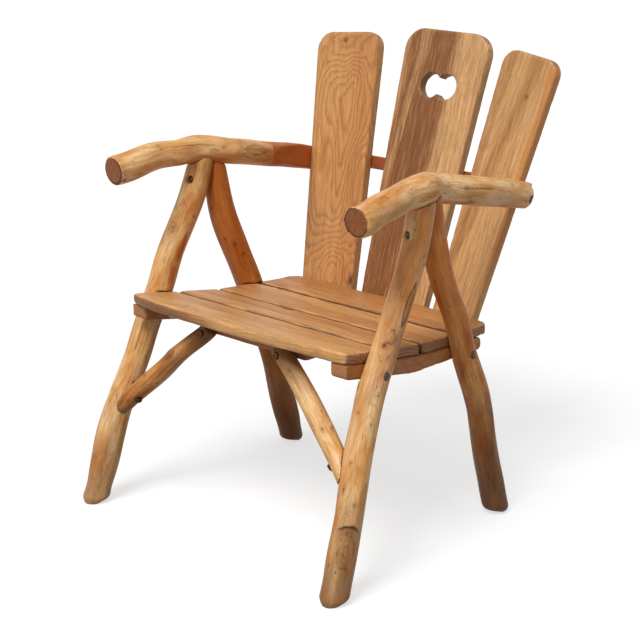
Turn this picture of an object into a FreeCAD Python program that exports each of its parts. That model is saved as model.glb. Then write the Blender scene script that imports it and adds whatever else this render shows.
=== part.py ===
import FreeCAD, Part
import math
import os
from FreeCAD import Vector

# Armchair of debarked branches and sawn boards, in millimetres.
# +Z is up and the sitter faces -Y. Left and right are those of someone who stands in front
# and looks at the chair, so left is -X.
# The chair is laid out from the middle of the seat x = 0, the front edge of the seat y = 0
# and the floor z = 0, and at the end it is moved so that its outer size is centred on x = y = 0.

# Seat
seat_front_height = 429.0          # top of the front edge above the floor
seat_front_width = 575.0           # across the board ends at the front edge
seat_rear_width = 526.0            # the same at the rear edge
seat_depth = 436.0                 # front edge to rear edge
seat_board_thickness = 22.0        # measured straight down
seat_gap = 6.0                     # between one seat board and the next
seat_board_shares = (0.254, 0.236, 0.246, 0.264)
seat_fall_angles = (8.8, 8.0, 3.4, 1.7)
seat_edge_radius = 4.0
seat_front_corner_radius = 12.0
seat_rear_corner_radius = 30.0
seat_front_bow = 25.0              # middle of the front edge in front of its corners
seat_front_bow_radius = 300.0
seat_front_bow_shares = ((-0.82, 0.61), (-0.45, 0.95), (0.06, 1.0), (0.57, 0.62))   # across, forward

# Side rails under the seat boards
rail_thickness = 40.0              # inward from the board ends
rail_front_depth = 27.0
rail_middle_depth = 33.0
rail_rear_depth = 25.5
rail_rear_inset = 32.0             # rail ends in front of the seat's rear edge
rail_bend_share = 0.47             # where the underside turns level
rail_bend_radius = 160.0
rail_nose_radius = 9.0

# Backrest boards, on a plane that leans back
back_lean = 17.4
back_gap = 7.0                     # seat's rear edge to the front of the back boards
back_board_thickness = 22.5
back_foot_drop = 60.0              # board ends below the seat's rear edge
back_edge_radius = 3.0
left_back_height = 527.0           # above the seat's rear edge, along the board's plane
left_back_foot_width = 143.0
left_back_top_width = 176.0
left_back_corner_radius = 37.0
centre_back_height = 549.5
centre_back_foot_width = 171.0
centre_back_top_width = 220.0
centre_back_corner_radius = 44.0
right_back_height = 519.5
right_back_foot_width = 103.0
right_back_top_width = 133.5
right_back_corner_radius = 31.0
back_foot_shares = (-0.6935, 0.012, 0.615)   # board feet across half of the seat's rear width
back_fan_angles = (-9.06, 0.1, 6.2)         # lean of each board to its side
back_top_angles = (-4.5, 0.9, 9.0)          # fall of each board's top end to its side
back_foot_corner_radius = 5.0

# Grip hole in the centre board, two round cuts that overlap
grip_hole_diameter = 51.0
grip_hole_spacing = 41.5
grip_hole_drop = 113.5             # below the board's top end

# Back rails
upper_rail_depth = 27.0
upper_rail_thickness = 24.0
upper_rail_rise = 19.5             # above the rear ends of the arms
upper_rail_corner_radius = 4.0
upper_rail_end_reach = 2.0         # past the edges of the outer boards
lower_rail_depth = 28.0
lower_rail_thickness = 34.0
lower_rail_end_gap = 1.0           # to each side rail

# Front legs
front_leg_foot_reach = 78.0        # foot centre in front of the seat's front edge
front_leg_rail_setback = 73.0      # leg bolt behind the seat's front edge
front_leg_diameter = 54.0
front_leg_flat = 9.0               # depth of the flat that takes the side rail
front_leg_splay = 27.5             # foot outside the leg's place at the rail
leg_joint_lean_in = 18.0           # leg tops inside the front leg's place at the rail
leg_joint_setback = 205.0          # plane between front and rear leg tops, behind the front edge
front_leg_top_gap = 7.0            # leg's axis at the crown in front of that plane

# Rear legs
rear_leg_foot_reach = 7.0          # foot centre behind the seat's rear edge
rear_leg_rail_setback = 322.0
rear_leg_diameter = 53.0
rear_leg_flat = 10.8
rear_leg_sway = 3.0
rear_leg_top_gap = 9.0

# Height share, splay share, set-back share and two girth shares (left, right) of the legs
front_leg_shares = (
    (0.000, 1.00, 0.000, 1.16, 1.08),
    (0.087, 0.94, 0.069, 1.03, 1.01),
    (0.174, 0.88, 0.135, 1.11, 0.98),
    (0.261, 0.70, 0.204, 1.06, 0.98),
    (0.348, 0.38, 0.288, 1.02, 1.00),
    (0.435, 0.12, 0.380, 1.00, 0.97),
    (0.522, 0.00, 0.468, 1.00, 0.99),
    (0.609, -0.07, 0.581, 1.02, 0.93),
    (0.696, -0.02, 0.680, 1.00, 0.89),
    (0.783, -0.18, 0.795, 0.98, 0.92),
    (0.870, -0.42, 0.900, 1.00, 0.97),
    (0.942, -0.65, 0.957, 0.97, 0.95),
    (1.000, -0.80, 1.000, 0.94, 0.93),
)
rear_leg_shares = (
    (0.000, 0.60, 0.000, 1.07, 1.01),
    (0.087, -0.30, 0.078, 1.03, 0.99),
    (0.174, -0.40, 0.159, 1.04, 0.98),
    (0.261, 0.00, 0.227, 0.97, 0.97),
    (0.348, 0.70, 0.300, 0.95, 0.98),
    (0.435, 0.50, 0.402, 1.00, 0.98),
    (0.522, -0.40, 0.513, 1.08, 0.94),
    (0.609, 0.60, 0.615, 1.09, 0.90),
    (0.696, 0.30, 0.742, 1.08, 0.88),
    (0.783, 0.20, 0.858, 1.06, 0.91),
    (0.870, 0.00, 0.930, 1.00, 0.92),
    (0.942, 0.00, 0.974, 0.93, 0.90),
    (1.000, 0.00, 1.000, 0.89, 0.87),
)

# Arms
arm_crown_height = 688.5           # axis of the arm above the leg joint
arm_front_drop = 21.0              # front end's axis below the crown
arm_rear_drop = 68.5               # axis at the back boards below the crown
arm_front_reach = 217.0            # front end in front of the leg joint
arm_front_flare = 33.0             # front end outside the leg joint
arm_waist = 16.5                   # behind the leg joint the arm bends inward
arm_diameter = 56.0
arm_flat = 18.0                    # depth of the inner flat at the back boards
left_arm_flat_angle = 20.0         # run of that flat, outward to the rear
right_arm_flat_angle = 4.0

# Place along the front part, flare share, rise share and two girth shares (left, right) of the arms
arm_front_shares = (
    (0.000, 1.000, 0.00, 1.05, 1.00),
    (0.160, 0.970, 0.17, 1.07, 1.00),
    (0.350, 0.880, 0.62, 1.02, 0.98),
    (0.560, 0.670, 0.87, 0.96, 0.96),
    (0.800, 0.340, 1.00, 0.98, 1.02),
)
# Place along the rear part, waist share, two rear shares, drop share and two girth shares.
# The last place lies behind the back boards, where the blank of the arm is cut off.
arm_rear_shares = (
    (0.000, 0.00, 0.00, 0.00, 0.02, 1.00, 1.07),
    (0.090, 0.80, 0.00, 0.00, 0.10, 0.97, 1.03),
    (0.200, 1.00, 0.00, 0.00, 0.20, 0.95, 1.00),
    (0.330, 1.00, 0.00, 0.00, 0.31, 0.94, 1.00),
    (0.450, 0.90, 0.00, 0.07, 0.42, 0.93, 1.00),
    (0.580, 0.60, 0.10, 0.31, 0.55, 0.93, 1.00),
    (0.700, 0.30, 0.27, 0.60, 0.67, 0.94, 1.00),
    (0.850, 0.10, 0.60, 0.83, 0.82, 0.94, 0.98),
    (1.000, 0.00, 1.00, 1.00, 1.00, 0.93, 0.93),
    (1.140, 0.00, 1.42, 1.05, 1.16, 0.92, 0.88),
)

# Front cleat and braces
cleat_setback = 48.0               # front face behind the seat's front edge
cleat_depth = 26.0
cleat_height = 28.0
cleat_half_length = 142.0
cleat_corner_radius = 10.0
left_brace_top_half_spacing = 98.0      # inner end of the brace from the middle
right_brace_top_half_spacing = 91.0
brace_top_drop = 12.0              # axis of the inner end below the cleat's top
left_brace_foot_height = 179.0     # where its axis meets the leg's axis
right_brace_foot_height = 196.0
brace_diameter = 34.0
brace_flat = 3.0                   # depth of the flat that lies on the cleat
brace_foot_reach = 5.0             # outer end in front of the leg's axis

# Place share, two bow shares and two girth shares (left, right) of the braces
brace_shares = (
    (0.00, 0.00, 0.00, 1.08, 1.11),
    (0.18, 0.00, 0.45, 1.08, 1.13),
    (0.36, 0.00, 0.80, 1.12, 1.14),
    (0.54, 0.05, 0.90, 1.10, 1.16),
    (0.72, 0.35, 0.85, 1.03, 1.09),
    (0.86, 0.05, 0.50, 1.02, 1.06),
    (1.00, 0.00, 0.00, 0.98, 1.08),
)
brace_bow = 11.0

# Bolts, nuts and washers
bolt_diameter = 8.0
dome_diameter = 15.0
dome_height = 5.5
nut_flats = 13.0
nut_height = 6.5
washer_diameter = 18.0
washer_thickness = 1.6
bolt_tail = 3.0                    # bolt beyond its nut
leg_spot_depth = 4.0               # flat spot for the dome on the outside of a leg
left_joint_bolt_drop = 57.5        # below the arm's axis at the crown
right_joint_bolt_drop = 76.5
joint_bolt_sink = 9.0              # dome seat and nut seat below the bark line of the legs

# Coach screws with hexagon heads
coach_diameter = 7.0
coach_flats = 12.0
coach_head_height = 5.0
arm_coach_length = 46.0
arm_coach_sink = 11.0
brace_top_coach_length = 44.0
brace_top_coach_inset = 9.0        # from the inner end of the brace
brace_top_coach_sink = 4.0
brace_foot_coach_length = 70.0
left_brace_foot_coach_reach = 54.0      # leg's axis to where the screw crosses the brace's axis
right_brace_foot_coach_reach = 38.0
brace_foot_coach_rise = 30.0       # leg's axis above the brace's axis along the screw
brace_foot_coach_sink = 2.5

# Wood screws
screw_diameter = 4.5
screw_head_diameter = 9.0
screw_head_height = 3.0
seat_screw_length = 30.0
seat_screw_bite = 14.0             # length that stands in the seat board
seat_screw_edge_share = 0.25       # from a board's front and rear edges, of its width
seat_screw_bolt_room = 12.0        # at least this far in front of or behind a rail bolt
batten_screw_length = 36.0
batten_screw_bite = 14.0
cleat_screw_shares = (-0.92, 0.0, 0.92)       # of the cleat's half length
lower_rail_screw_shares = (-0.42, 0.0, 0.42)  # of the lower back rail's half length
back_screw_length = 38.0
back_screw_spread_share = 0.27     # either side of a board's middle, of its width

# Dowels between the leg tops and the arms
dowel_diameter = 12.0
dowel_length = 40.0
dowel_grip = 20.0                  # length in the arm
dowel_end_room = 1.5

# Clearances
bolt_play = 0.25                   # round a bolt's shank
thread_fit = 0.05                  # round a thread in wood or in its nut
scribe_gap = 0.3                   # between a branch and the branch that it is cut to
notch_room = 1.5                   # above and below what a leg's notch takes
socket_play = 1.2                  # round a head or a washer that is let in
overrun = 60.0                     # cutting bodies run past what they cut
shortest_edge = 0.05               # an outline has no straight edge below this

left = -1
right = 1


def turned(angle):
    return math.tan(math.radians(angle))


def unit(vector):
    return Vector(vector).normalize()


# Outlines: a list of (u, v, corner radius), drawn by a function that places u and v in space

def corner_points(before, corner, after, radius):
    back = unit(before - corner)
    ahead = unit(after - corner)
    half_angle = math.acos(max(-1.0, min(1.0, back.dot(ahead)))) / 2.0
    longest = min((before - corner).Length, (after - corner).Length) / 2.0
    setback = min(radius / math.tan(half_angle), longest)
    reach = setback * math.tan(half_angle)
    middle = corner + unit(back + ahead) * (reach / math.sin(half_angle) - reach)
    return corner + back * setback, middle, corner + ahead * setback


def outline_face(corners, place):
    spots = [Vector(u, v, 0) for u, v, radius in corners]
    edges = []
    ends = []
    for number, (u, v, radius) in enumerate(corners):
        before = spots[number - 1]
        after = spots[(number + 1) % len(spots)]
        if radius > 0:
            first, middle, last = corner_points(before, spots[number], after, radius)
            ends.append((first, middle, last))
        else:
            ends.append((spots[number], None, spots[number]))
    for number, (first, middle, last) in enumerate(ends):
        start = place(first.x, first.y)
        finish = place(last.x, last.y)
        following = ends[(number + 1) % len(ends)][0]
        next_start = place(following.x, following.y)
        if middle is not None:
            edges.append(Part.Arc(start, place(middle.x, middle.y), finish).toShape())
        if (next_start - finish).Length > shortest_edge:
            edges.append(Part.LineSegment(finish, next_start).toShape())
    return Part.Face(Part.Wire(edges))


def crossed_prisms(side_corners, plan_corners):
    # What a side outline (y, z) and a plan outline (x, y) have in common
    reach = seat_front_width + overrun
    wide = Vector(reach + reach, 0, 0)
    side = outline_face(side_corners, lambda y, z: Vector(-reach, y, z)).extrude(wide)
    tall = Vector(0, 0, seat_front_height + overrun)
    plan = outline_face(plan_corners, lambda x, y: Vector(x, y, 0)).extrude(tall)
    return side.common(plan)


# Seat lines

def half_width_at(y):
    share = y / seat_depth
    return (seat_front_width + (seat_rear_width - seat_front_width) * share) / 2.0


def seat_boards():
    # Front edge, rear edge, start and end of the facet, height at its start, and its slope
    boards = []
    room = seat_depth - seat_gap * (len(seat_board_shares) - 1)
    front = 0.0
    height = seat_front_height
    facet_start = 0.0
    for number, (share, angle) in enumerate(zip(seat_board_shares, seat_fall_angles)):
        rear = front + room * share
        is_last = number == len(seat_board_shares) - 1
        facet_end = rear if is_last else rear + seat_gap / 2.0
        boards.append((front, rear, facet_start, facet_end, height, turned(angle)))
        height = height - (facet_end - facet_start) * turned(angle)
        facet_start = facet_end
        front = rear + seat_gap
    return boards


def seat_top_at(y):
    boards = seat_boards()
    for front, rear, start, end, height, slope in boards:
        if y <= end:
            return height - (y - start) * slope
    return height - (y - start) * slope


def under_seat_at(y):
    return seat_top_at(y) - seat_board_thickness


def rail_bottom_at(y):
    length = seat_depth - rail_rear_inset
    bend = length * rail_bend_share
    front_z = under_seat_at(0) - rail_front_depth
    bend_z = under_seat_at(bend) - rail_middle_depth
    rear_z = under_seat_at(length) - rail_rear_depth
    if y < bend:
        return front_z + (bend_z - front_z) * y / bend
    return bend_z + (rear_z - bend_z) * (y - bend) / (length - bend)


def seat_front_swell(wide):
    # Corners of the first board's front edge, which swells forward between the board's ends
    return [(wide * across, -seat_front_bow * forward, seat_front_bow_radius)
            for across, forward in seat_front_bow_shares]


def seat_board(number):
    front, rear, start, end, height, slope = seat_boards()[number]
    is_first = number == 0
    is_last = number == len(seat_board_shares) - 1
    nose = front - seat_front_bow if is_first else front
    top_nose = height - (nose - start) * slope
    top_rear = height - (rear - start) * slope
    side = [
        (nose, top_nose, 0),
        (rear, top_rear, 0),
        (rear, top_rear - seat_board_thickness, 0),
        (nose, top_nose - seat_board_thickness, 0),
    ]
    front_radius = seat_front_corner_radius if is_first else 0
    rear_radius = seat_rear_corner_radius if is_last else 0
    wide = half_width_at(front)
    narrow = half_width_at(rear)
    swell = seat_front_swell(wide) if is_first else []
    plan = [(-wide, front, front_radius)] + swell + [
        (wide, front, front_radius),
        (narrow, rear, rear_radius),
        (-narrow, rear, rear_radius),
    ]
    board = crossed_prisms(side, plan)
    return board.makeFillet(seat_edge_radius, board.Edges)


def side_rail(side):
    length = seat_depth - rail_rear_inset
    bend = length * rail_bend_share
    outline = [(0, under_seat_at(0), 0)]
    for front, rear, start, end, height, slope in seat_boards()[1:]:
        outline.append((start, under_seat_at(start), 0))
    outline.append((length, under_seat_at(length), rail_nose_radius))
    outline.append((length, rail_bottom_at(length), rail_nose_radius))
    outline.append((bend, rail_bottom_at(bend), rail_bend_radius))
    outline.append((0, rail_bottom_at(0), rail_nose_radius))
    plan = [
        (side * half_width_at(0), 0, 0),
        (side * half_width_at(length), length, 0),
        (side * (half_width_at(length) - rail_thickness), length, 0),
        (side * (half_width_at(0) - rail_thickness), 0, 0),
    ]
    return crossed_prisms(outline, plan)


# Back boards, on the leaning plane: x across, v up the plane, depth backward from the front faces

def on_back(x, v, depth):
    lean = math.radians(back_lean)
    y = seat_depth + back_gap + v * math.sin(lean) + depth * math.cos(lean)
    z = seat_top_at(seat_depth) + v * math.cos(lean) - depth * math.sin(lean)
    return Vector(x, y, z)


def back_forward():
    # Square to the back boards, from their rear faces to their front faces
    return unit(on_back(0, 0, 0) - on_back(0, 0, back_board_thickness))


def back_v_at(z):
    return (z - seat_top_at(seat_depth)) / math.cos(math.radians(back_lean))


def back_face_under_seat():
    # Where the front of the back boards meets the line of the seat's underside
    slope = turned(seat_fall_angles[-1])
    lean = math.radians(back_lean)
    drop = seat_board_thickness + slope * back_gap
    return on_back(0, -drop / (math.cos(lean) + slope * math.sin(lean)), 0)


back_sizes = (
    (left_back_height, left_back_foot_width, left_back_top_width, left_back_corner_radius),
    (centre_back_height, centre_back_foot_width, centre_back_top_width, centre_back_corner_radius),
    (right_back_height, right_back_foot_width, right_back_top_width, right_back_corner_radius),
)


def back_middle_at(number, v):
    foot = back_foot_shares[number] * seat_rear_width / 2.0
    return foot + v * turned(back_fan_angles[number])


def back_width_at(number, v):
    height, foot_width, top_width, radius = back_sizes[number]
    share = v / height
    return foot_width + (top_width - foot_width) * share


def back_outline(number):
    height, foot_width, top_width, radius = back_sizes[number]
    fall = turned(back_top_angles[number])
    foot = -back_foot_drop
    corners = []
    for side in (left, right):
        foot_x = back_middle_at(number, foot) + side * back_width_at(number, foot) / 2.0
        top_x = back_middle_at(number, height) + side * top_width / 2.0
        top_v = height - side * top_width / 2.0 * fall
        pair = [(foot_x, foot, back_foot_corner_radius), (top_x, top_v, radius)]
        corners = corners + (pair if side == left else pair[::-1])
    return corners


def back_blank(number, front_depth, rear_depth):
    face = outline_face(back_outline(number), lambda x, v: on_back(x, v, front_depth))
    return face.extrude(on_back(0, 0, rear_depth) - on_back(0, 0, front_depth))


def grip_hole():
    height = centre_back_height - grip_hole_drop
    middle = back_middle_at(1, height)
    cuts = []
    for side in (left, right):
        spot = on_back(middle + side * grip_hole_spacing / 2.0, height, back_board_thickness + overrun)
        cuts.append(cylinder(spot, back_forward(), grip_hole_diameter / 2.0,
                             back_board_thickness + overrun + overrun))
    return cuts


def back_board(number):
    board = back_blank(number, 0, back_board_thickness)
    board = board.makeFillet(back_edge_radius, board.Edges)
    if number == 1:
        board = board.cut(grip_hole())
    return board


# Round bodies along a direction

def cylinder(point, direction, radius, length):
    return Part.makeCylinder(radius, length, point, unit(direction))


def hexagon(point, direction, flats, height):
    radius = flats / math.sqrt(3)
    spots = [Vector(radius * math.cos(math.pi * step / 3), radius * math.sin(math.pi * step / 3), 0)
             for step in range(7)]
    prism = Part.Face(Part.makePolygon(spots)).extrude(Vector(0, 0, height))
    return aimed(prism, point, direction)


def aimed(shape, point, direction):
    turn = FreeCAD.Rotation(Vector(0, 0, 1), unit(direction))
    shape.Placement = FreeCAD.Placement(point, turn)
    return shape


def dome(point, direction):
    # A cap with a flat seat at the point, rising along the direction
    radius = dome_diameter / 2.0
    ball_radius = (radius ** 2 + dome_height ** 2) / (dome_height + dome_height)
    ball = Part.makeSphere(ball_radius, Vector(0, 0, dome_height - ball_radius))
    cap = ball.common(Part.makeCylinder(ball_radius, dome_height))
    return aimed(cap, point, direction)


def domed_bolt(seat, direction, grip):
    # Seat under the dome, direction of the shank, thickness of what the bolt holds together
    length = grip + washer_thickness + nut_height + bolt_tail
    shank = cylinder(seat, direction, bolt_diameter / 2.0, length)
    return shank.fuse(dome(seat, -direction)).removeSplitter()


def washer(seat, direction, grip):
    place = seat + unit(direction) * grip
    ring = cylinder(place, direction, washer_diameter / 2.0, washer_thickness)
    return ring.cut(cylinder(place, direction, bolt_diameter / 2.0 + bolt_play, washer_thickness))


def nut(seat, direction, grip):
    place = seat + unit(direction) * (grip + washer_thickness)
    body = hexagon(place, direction, nut_flats, nut_height)
    return body.cut(cylinder(place, direction, bolt_diameter / 2.0 + thread_fit, nut_height))


def bolt_way(seat, direction, grip):
    # The hole for a bolt, with room for its dome outside the seat and its washer past the grip
    way = unit(direction)
    length = grip + washer_thickness + nut_height + bolt_tail + overrun
    hole = cylinder(seat - way * overrun, way, bolt_diameter / 2.0 + bolt_play, length + overrun)
    head_room = cylinder(seat - way * overrun, way, dome_diameter / 2.0 + socket_play, overrun)
    tail_room = cylinder(seat + way * grip, way, washer_diameter / 2.0 + socket_play, overrun)
    return [hole, head_room, tail_room]


def coach_screw(seat, direction, length):
    shank = cylinder(seat, direction, coach_diameter / 2.0, length)
    head = hexagon(seat, -direction, coach_flats, coach_head_height)
    return shank.fuse(head).removeSplitter()


def coach_way(seat, direction, length):
    way = unit(direction)
    hole = cylinder(seat, way, coach_diameter / 2.0 + thread_fit, length + thread_fit)
    room = cylinder(seat - way * overrun, way, coach_flats / math.sqrt(3) + socket_play, overrun)
    return [hole, room]


def wood_screw(seat, direction, length):
    # The seat is the middle of the head's flat face
    way = unit(direction)
    head = Part.makeCone(screw_head_diameter / 2.0, screw_diameter / 2.0, screw_head_height, seat, way)
    return head.fuse(cylinder(seat, way, screw_diameter / 2.0, length)).removeSplitter()


def screw_way(seat, direction, length):
    way = unit(direction)
    wide = screw_head_diameter / 2.0 + thread_fit
    hole = cylinder(seat, way, screw_diameter / 2.0 + thread_fit, length + thread_fit)
    sink = Part.makeCone(wide, screw_diameter / 2.0 + thread_fit, screw_head_height, seat, way)
    room = cylinder(seat - way * overrun, way, wide, overrun)
    return [hole, sink, room]


# Branches: lofts through round sections

def round_section(centre, normal, radius):
    way = unit(normal)
    side = unit(Vector(1, 0, 0) - way * way.x)
    front = way.cross(side)
    rim = [centre + (side * math.cos(math.pi * step / 4) + front * math.sin(math.pi * step / 4)) * radius
           for step in range(9)]
    return Part.Wire([Part.Arc(rim[step], rim[step + 1], rim[step + 2]).toShape() for step in (0, 2, 4, 6)])


def branch(stations, extra=0.0, first_normal=None):
    sections = []
    for number, (centre, radius) in enumerate(stations):
        before = stations[max(number - 1, 0)][0]
        after = stations[min(number + 1, len(stations) - 1)][0]
        normal = first_normal if number == 0 and first_normal else after - before
        sections.append(round_section(centre, normal, radius + extra))
    return Part.makeLoft(sections, True, False)


def station_near(stations, measure, value):
    # Point and radius on a branch where a measure of the point first passes a value
    for (start, first), (end, last) in zip(stations, stations[1:]):
        if (measure(start) - value) * (measure(end) - value) <= 0:
            share = (value - measure(start)) / (measure(end) - measure(start))
            return start + (end - start) * share, first + (last - first) * share
    return stations[-1]


def girth(side, left_share, right_share):
    return left_share if side == left else right_share


def front_leg_rail_x():
    return half_width_at(front_leg_rail_setback) + front_leg_diameter / 2.0 - front_leg_flat


def leg_joint_x():
    return front_leg_rail_x() - leg_joint_lean_in


def front_leg_stations(side):
    stations = []
    foot_y = -front_leg_foot_reach
    top_y = leg_joint_setback - front_leg_top_gap
    for height_share, splay_share, setback_share, left_girth, right_girth in front_leg_shares:
        spread = front_leg_splay if splay_share > 0 else leg_joint_lean_in
        x = front_leg_rail_x() + spread * splay_share
        y = foot_y + (top_y - foot_y) * setback_share
        radius = front_leg_diameter * girth(side, left_girth, right_girth) / 2.0
        stations.append((Vector(side * x, y, arm_crown_height * height_share), radius))
    return stations


def rear_leg_stations(side):
    stations = []
    rail_x = half_width_at(rear_leg_rail_setback) + rear_leg_diameter / 2.0 - rear_leg_flat
    foot_y = seat_depth + rear_leg_foot_reach
    top_y = leg_joint_setback + rear_leg_top_gap
    for height_share, sway_share, setback_share, left_girth, right_girth in rear_leg_shares:
        x = rail_x + (leg_joint_x() - rail_x) * height_share ** 2 + rear_leg_sway * sway_share
        y = foot_y + (top_y - foot_y) * setback_share
        radius = rear_leg_diameter * girth(side, left_girth, right_girth) / 2.0
        stations.append((Vector(side * x, y, arm_crown_height * height_share), radius))
    return stations


def arm_rear_height():
    return arm_crown_height - arm_rear_drop


def arm_board(side):
    return 0 if side == left else 2


def arm_board_edge_x(side, v):
    number = arm_board(side)
    return back_middle_at(number, v) + side * back_width_at(number, v) / 2.0


def arm_rear_x(side):
    edge = abs(arm_board_edge_x(side, back_v_at(arm_rear_height())))
    return edge + arm_diameter / 2.0 - arm_flat


def arm_stations(side):
    stations = []
    joint_x = leg_joint_x()
    front_y = leg_joint_setback - arm_front_reach
    rear_point = on_back(0, back_v_at(arm_rear_height()), back_board_thickness)
    rear_y = rear_point.y
    for place_share, flare_share, rise_share, left_girth, right_girth in arm_front_shares:
        x = joint_x + arm_front_flare * flare_share
        y = front_y + arm_front_reach * place_share
        z = arm_crown_height - arm_front_drop * (1 - rise_share)
        radius = arm_diameter * girth(side, left_girth, right_girth) / 2.0
        stations.append((Vector(side * x, y, z), radius))
    for row in arm_rear_shares:
        place_share, waist_share, left_rear, right_rear, drop_share, left_girth, right_girth = row
        rear_share = girth(side, left_rear, right_rear)
        x = joint_x - arm_waist * waist_share + (arm_rear_x(side) - joint_x) * rear_share
        y = leg_joint_setback + (rear_y - leg_joint_setback) * place_share
        z = arm_crown_height - arm_rear_drop * drop_share
        radius = arm_diameter * girth(side, left_girth, right_girth) / 2.0
        stations.append((Vector(side * x, y, z), radius))
    return stations


def brace_leg_point(side):
    height = left_brace_foot_height if side == left else right_brace_foot_height
    return station_near(front_leg_stations(side), lambda spot: spot.z, height)


def brace_top_spacing(side):
    return left_brace_top_half_spacing if side == left else right_brace_top_half_spacing


def brace_stations(side):
    stations = []
    leg_point = brace_leg_point(side)[0]
    top_radius = brace_diameter * girth(side, brace_shares[-1][3], brace_shares[-1][4]) / 2.0
    foot = Vector(leg_point.x, leg_point.y - brace_foot_reach, leg_point.z)
    top = Vector(side * brace_top_spacing(side), cleat_setback - top_radius + brace_flat,
                 under_seat_at(cleat_setback) - brace_top_drop)
    for place_share, left_bow, right_bow, left_girth, right_girth in brace_shares:
        rise = brace_bow * girth(side, left_bow, right_bow)
        centre = foot + (top - foot) * place_share + Vector(0, 0, rise)
        radius = brace_diameter * girth(side, left_girth, right_girth) / 2.0
        stations.append((centre, radius))
    return stations


# Fastener places: (seat, direction, grip or length)

def rail_bolt_place(stations, side, setback):
    point, radius = station_near(stations, lambda spot: spot.z, rail_middle_z(setback))
    inner = half_width_at(point.y) - rail_thickness
    outer = abs(point.x) + radius - leg_spot_depth
    return Vector(side * outer, point.y, point.z), Vector(-side, 0, 0), outer - inner


def rail_middle_z(y):
    return (under_seat_at(y) + rail_bottom_at(y)) / 2.0


def rail_bolt_places():
    places = []
    for side in (left, right):
        places.append(rail_bolt_place(front_leg_stations(side), side, front_leg_rail_setback))
        places.append(rail_bolt_place(rear_leg_stations(side), side, rear_leg_rail_setback))
    return places


def joint_bolt_place(side):
    height = arm_crown_height - (left_joint_bolt_drop if side == left else right_joint_bolt_drop)
    front, front_radius = station_near(front_leg_stations(side), lambda spot: spot.z, height)
    rear, rear_radius = station_near(rear_leg_stations(side), lambda spot: spot.z, height)
    x = (front.x + rear.x) / 2.0
    start = front.y - front_radius + joint_bolt_sink
    end = rear.y + rear_radius - joint_bolt_sink
    return Vector(x, start, height), Vector(0, 1, 0), end - start


def joint_bolt_places():
    return [joint_bolt_place(side) for side in (left, right)]


def arm_coach_place(side):
    # Square to the board's edge, in the middle of its thickness
    number = arm_board(side)
    end, radius = station_near(arm_stations(side), lambda spot: spot.y,
                               on_back(0, back_v_at(arm_rear_height()), 0).y)
    v = back_v_at(end.z)
    depth = back_board_thickness / 2.0
    edge = on_back(arm_board_edge_x(side, v), v, depth)
    higher = on_back(arm_board_edge_x(side, v + upper_rail_depth), v + upper_rail_depth, depth)
    square = unit((higher - edge).cross(back_forward()))
    inward = square if square.x * side < 0 else -square
    outer = abs(end.x) + radius - arm_coach_sink - abs(edge.x)
    return edge - inward * outer, inward, arm_coach_length


def arm_coach_places():
    return [arm_coach_place(side) for side in (left, right)]


def brace_top_coach_place(side):
    point, radius = station_near(brace_stations(side), lambda spot: abs(spot.x),
                                 brace_top_spacing(side) + brace_top_coach_inset)
    seat = Vector(point.x, point.y - radius + brace_top_coach_sink, point.z)
    return seat, Vector(0, 1, 0), brace_top_coach_length


def brace_foot_coach_place(side):
    # From the underside of the brace up and outward, through the axis of the leg
    stations = brace_stations(side)
    leg_x = abs(brace_leg_point(side)[0].x)
    reach = left_brace_foot_coach_reach if side == left else right_brace_foot_coach_reach
    point, radius = station_near(stations, lambda spot: abs(spot.x), leg_x - reach)
    target = station_near(front_leg_stations(side), lambda spot: spot.z, point.z + brace_foot_coach_rise)[0]
    axis = unit(stations[-1][0] - stations[0][0])
    way = target - point
    square = unit(way - axis * way.dot(axis))
    seat = point - square * (radius - brace_foot_coach_sink)
    return seat, unit(target - seat), brace_foot_coach_length


def clear_of_bolts(side, y):
    for seat, direction, grip in rail_bolt_places():
        if seat.x * side > 0 and abs(y - seat.y) < seat_screw_bolt_room:
            return seat.y + math.copysign(seat_screw_bolt_room, y - seat.y)
    return y


def seat_screw_places(number):
    front, rear, start, end, height, slope = seat_boards()[number]
    down = unit(Vector(0, slope, 1))
    places = []
    for side in (left, right):
        for edge_share in (seat_screw_edge_share, 1 - seat_screw_edge_share):
            y = min(front + (rear - front) * edge_share, seat_depth - rail_rear_inset - screw_head_diameter)
            y = clear_of_bolts(side, y)
            x = side * (half_width_at(y) - rail_thickness / 2.0)
            entry = Vector(x, y, height - (y - start) * slope - seat_board_thickness)
            places.append((entry - down * (seat_screw_length - seat_screw_bite), down, seat_screw_length))
    return places


def cleat_screw_places():
    y = cleat_setback + cleat_depth / 2.0
    places = []
    for share in cleat_screw_shares:
        entry = Vector(cleat_half_length * share, y, under_seat_at(y))
        seat = entry - Vector(0, 0, batten_screw_length - batten_screw_bite)
        places.append((seat, Vector(0, 0, 1), batten_screw_length))
    return places


def lower_rail_screw_places():
    y = seat_depth - lower_rail_thickness / 2.0
    places = []
    for share in lower_rail_screw_shares:
        entry = Vector(lower_rail_half_length(y) * share, y, under_seat_at(y))
        seat = entry - Vector(0, 0, batten_screw_length - batten_screw_bite)
        places.append((seat, Vector(0, 0, 1), batten_screw_length))
    return places


def back_screw_places(v, depth):
    places = []
    for number in range(len(back_sizes)):
        for side in (left, right):
            spread = side * back_width_at(number, v) * back_screw_spread_share
            seat = on_back(back_middle_at(number, v) + spread, v, depth)
            places.append((seat, back_forward(), back_screw_length))
    return places


def upper_rail_v():
    return back_v_at(arm_rear_height() + upper_rail_rise)


def upper_screw_places():
    return back_screw_places(upper_rail_v(), back_board_thickness + upper_rail_thickness)


def lower_screw_places():
    middle = under_seat_at(seat_depth) - lower_rail_depth / 2.0
    return back_screw_places(back_v_at(middle), back_board_thickness)


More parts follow.
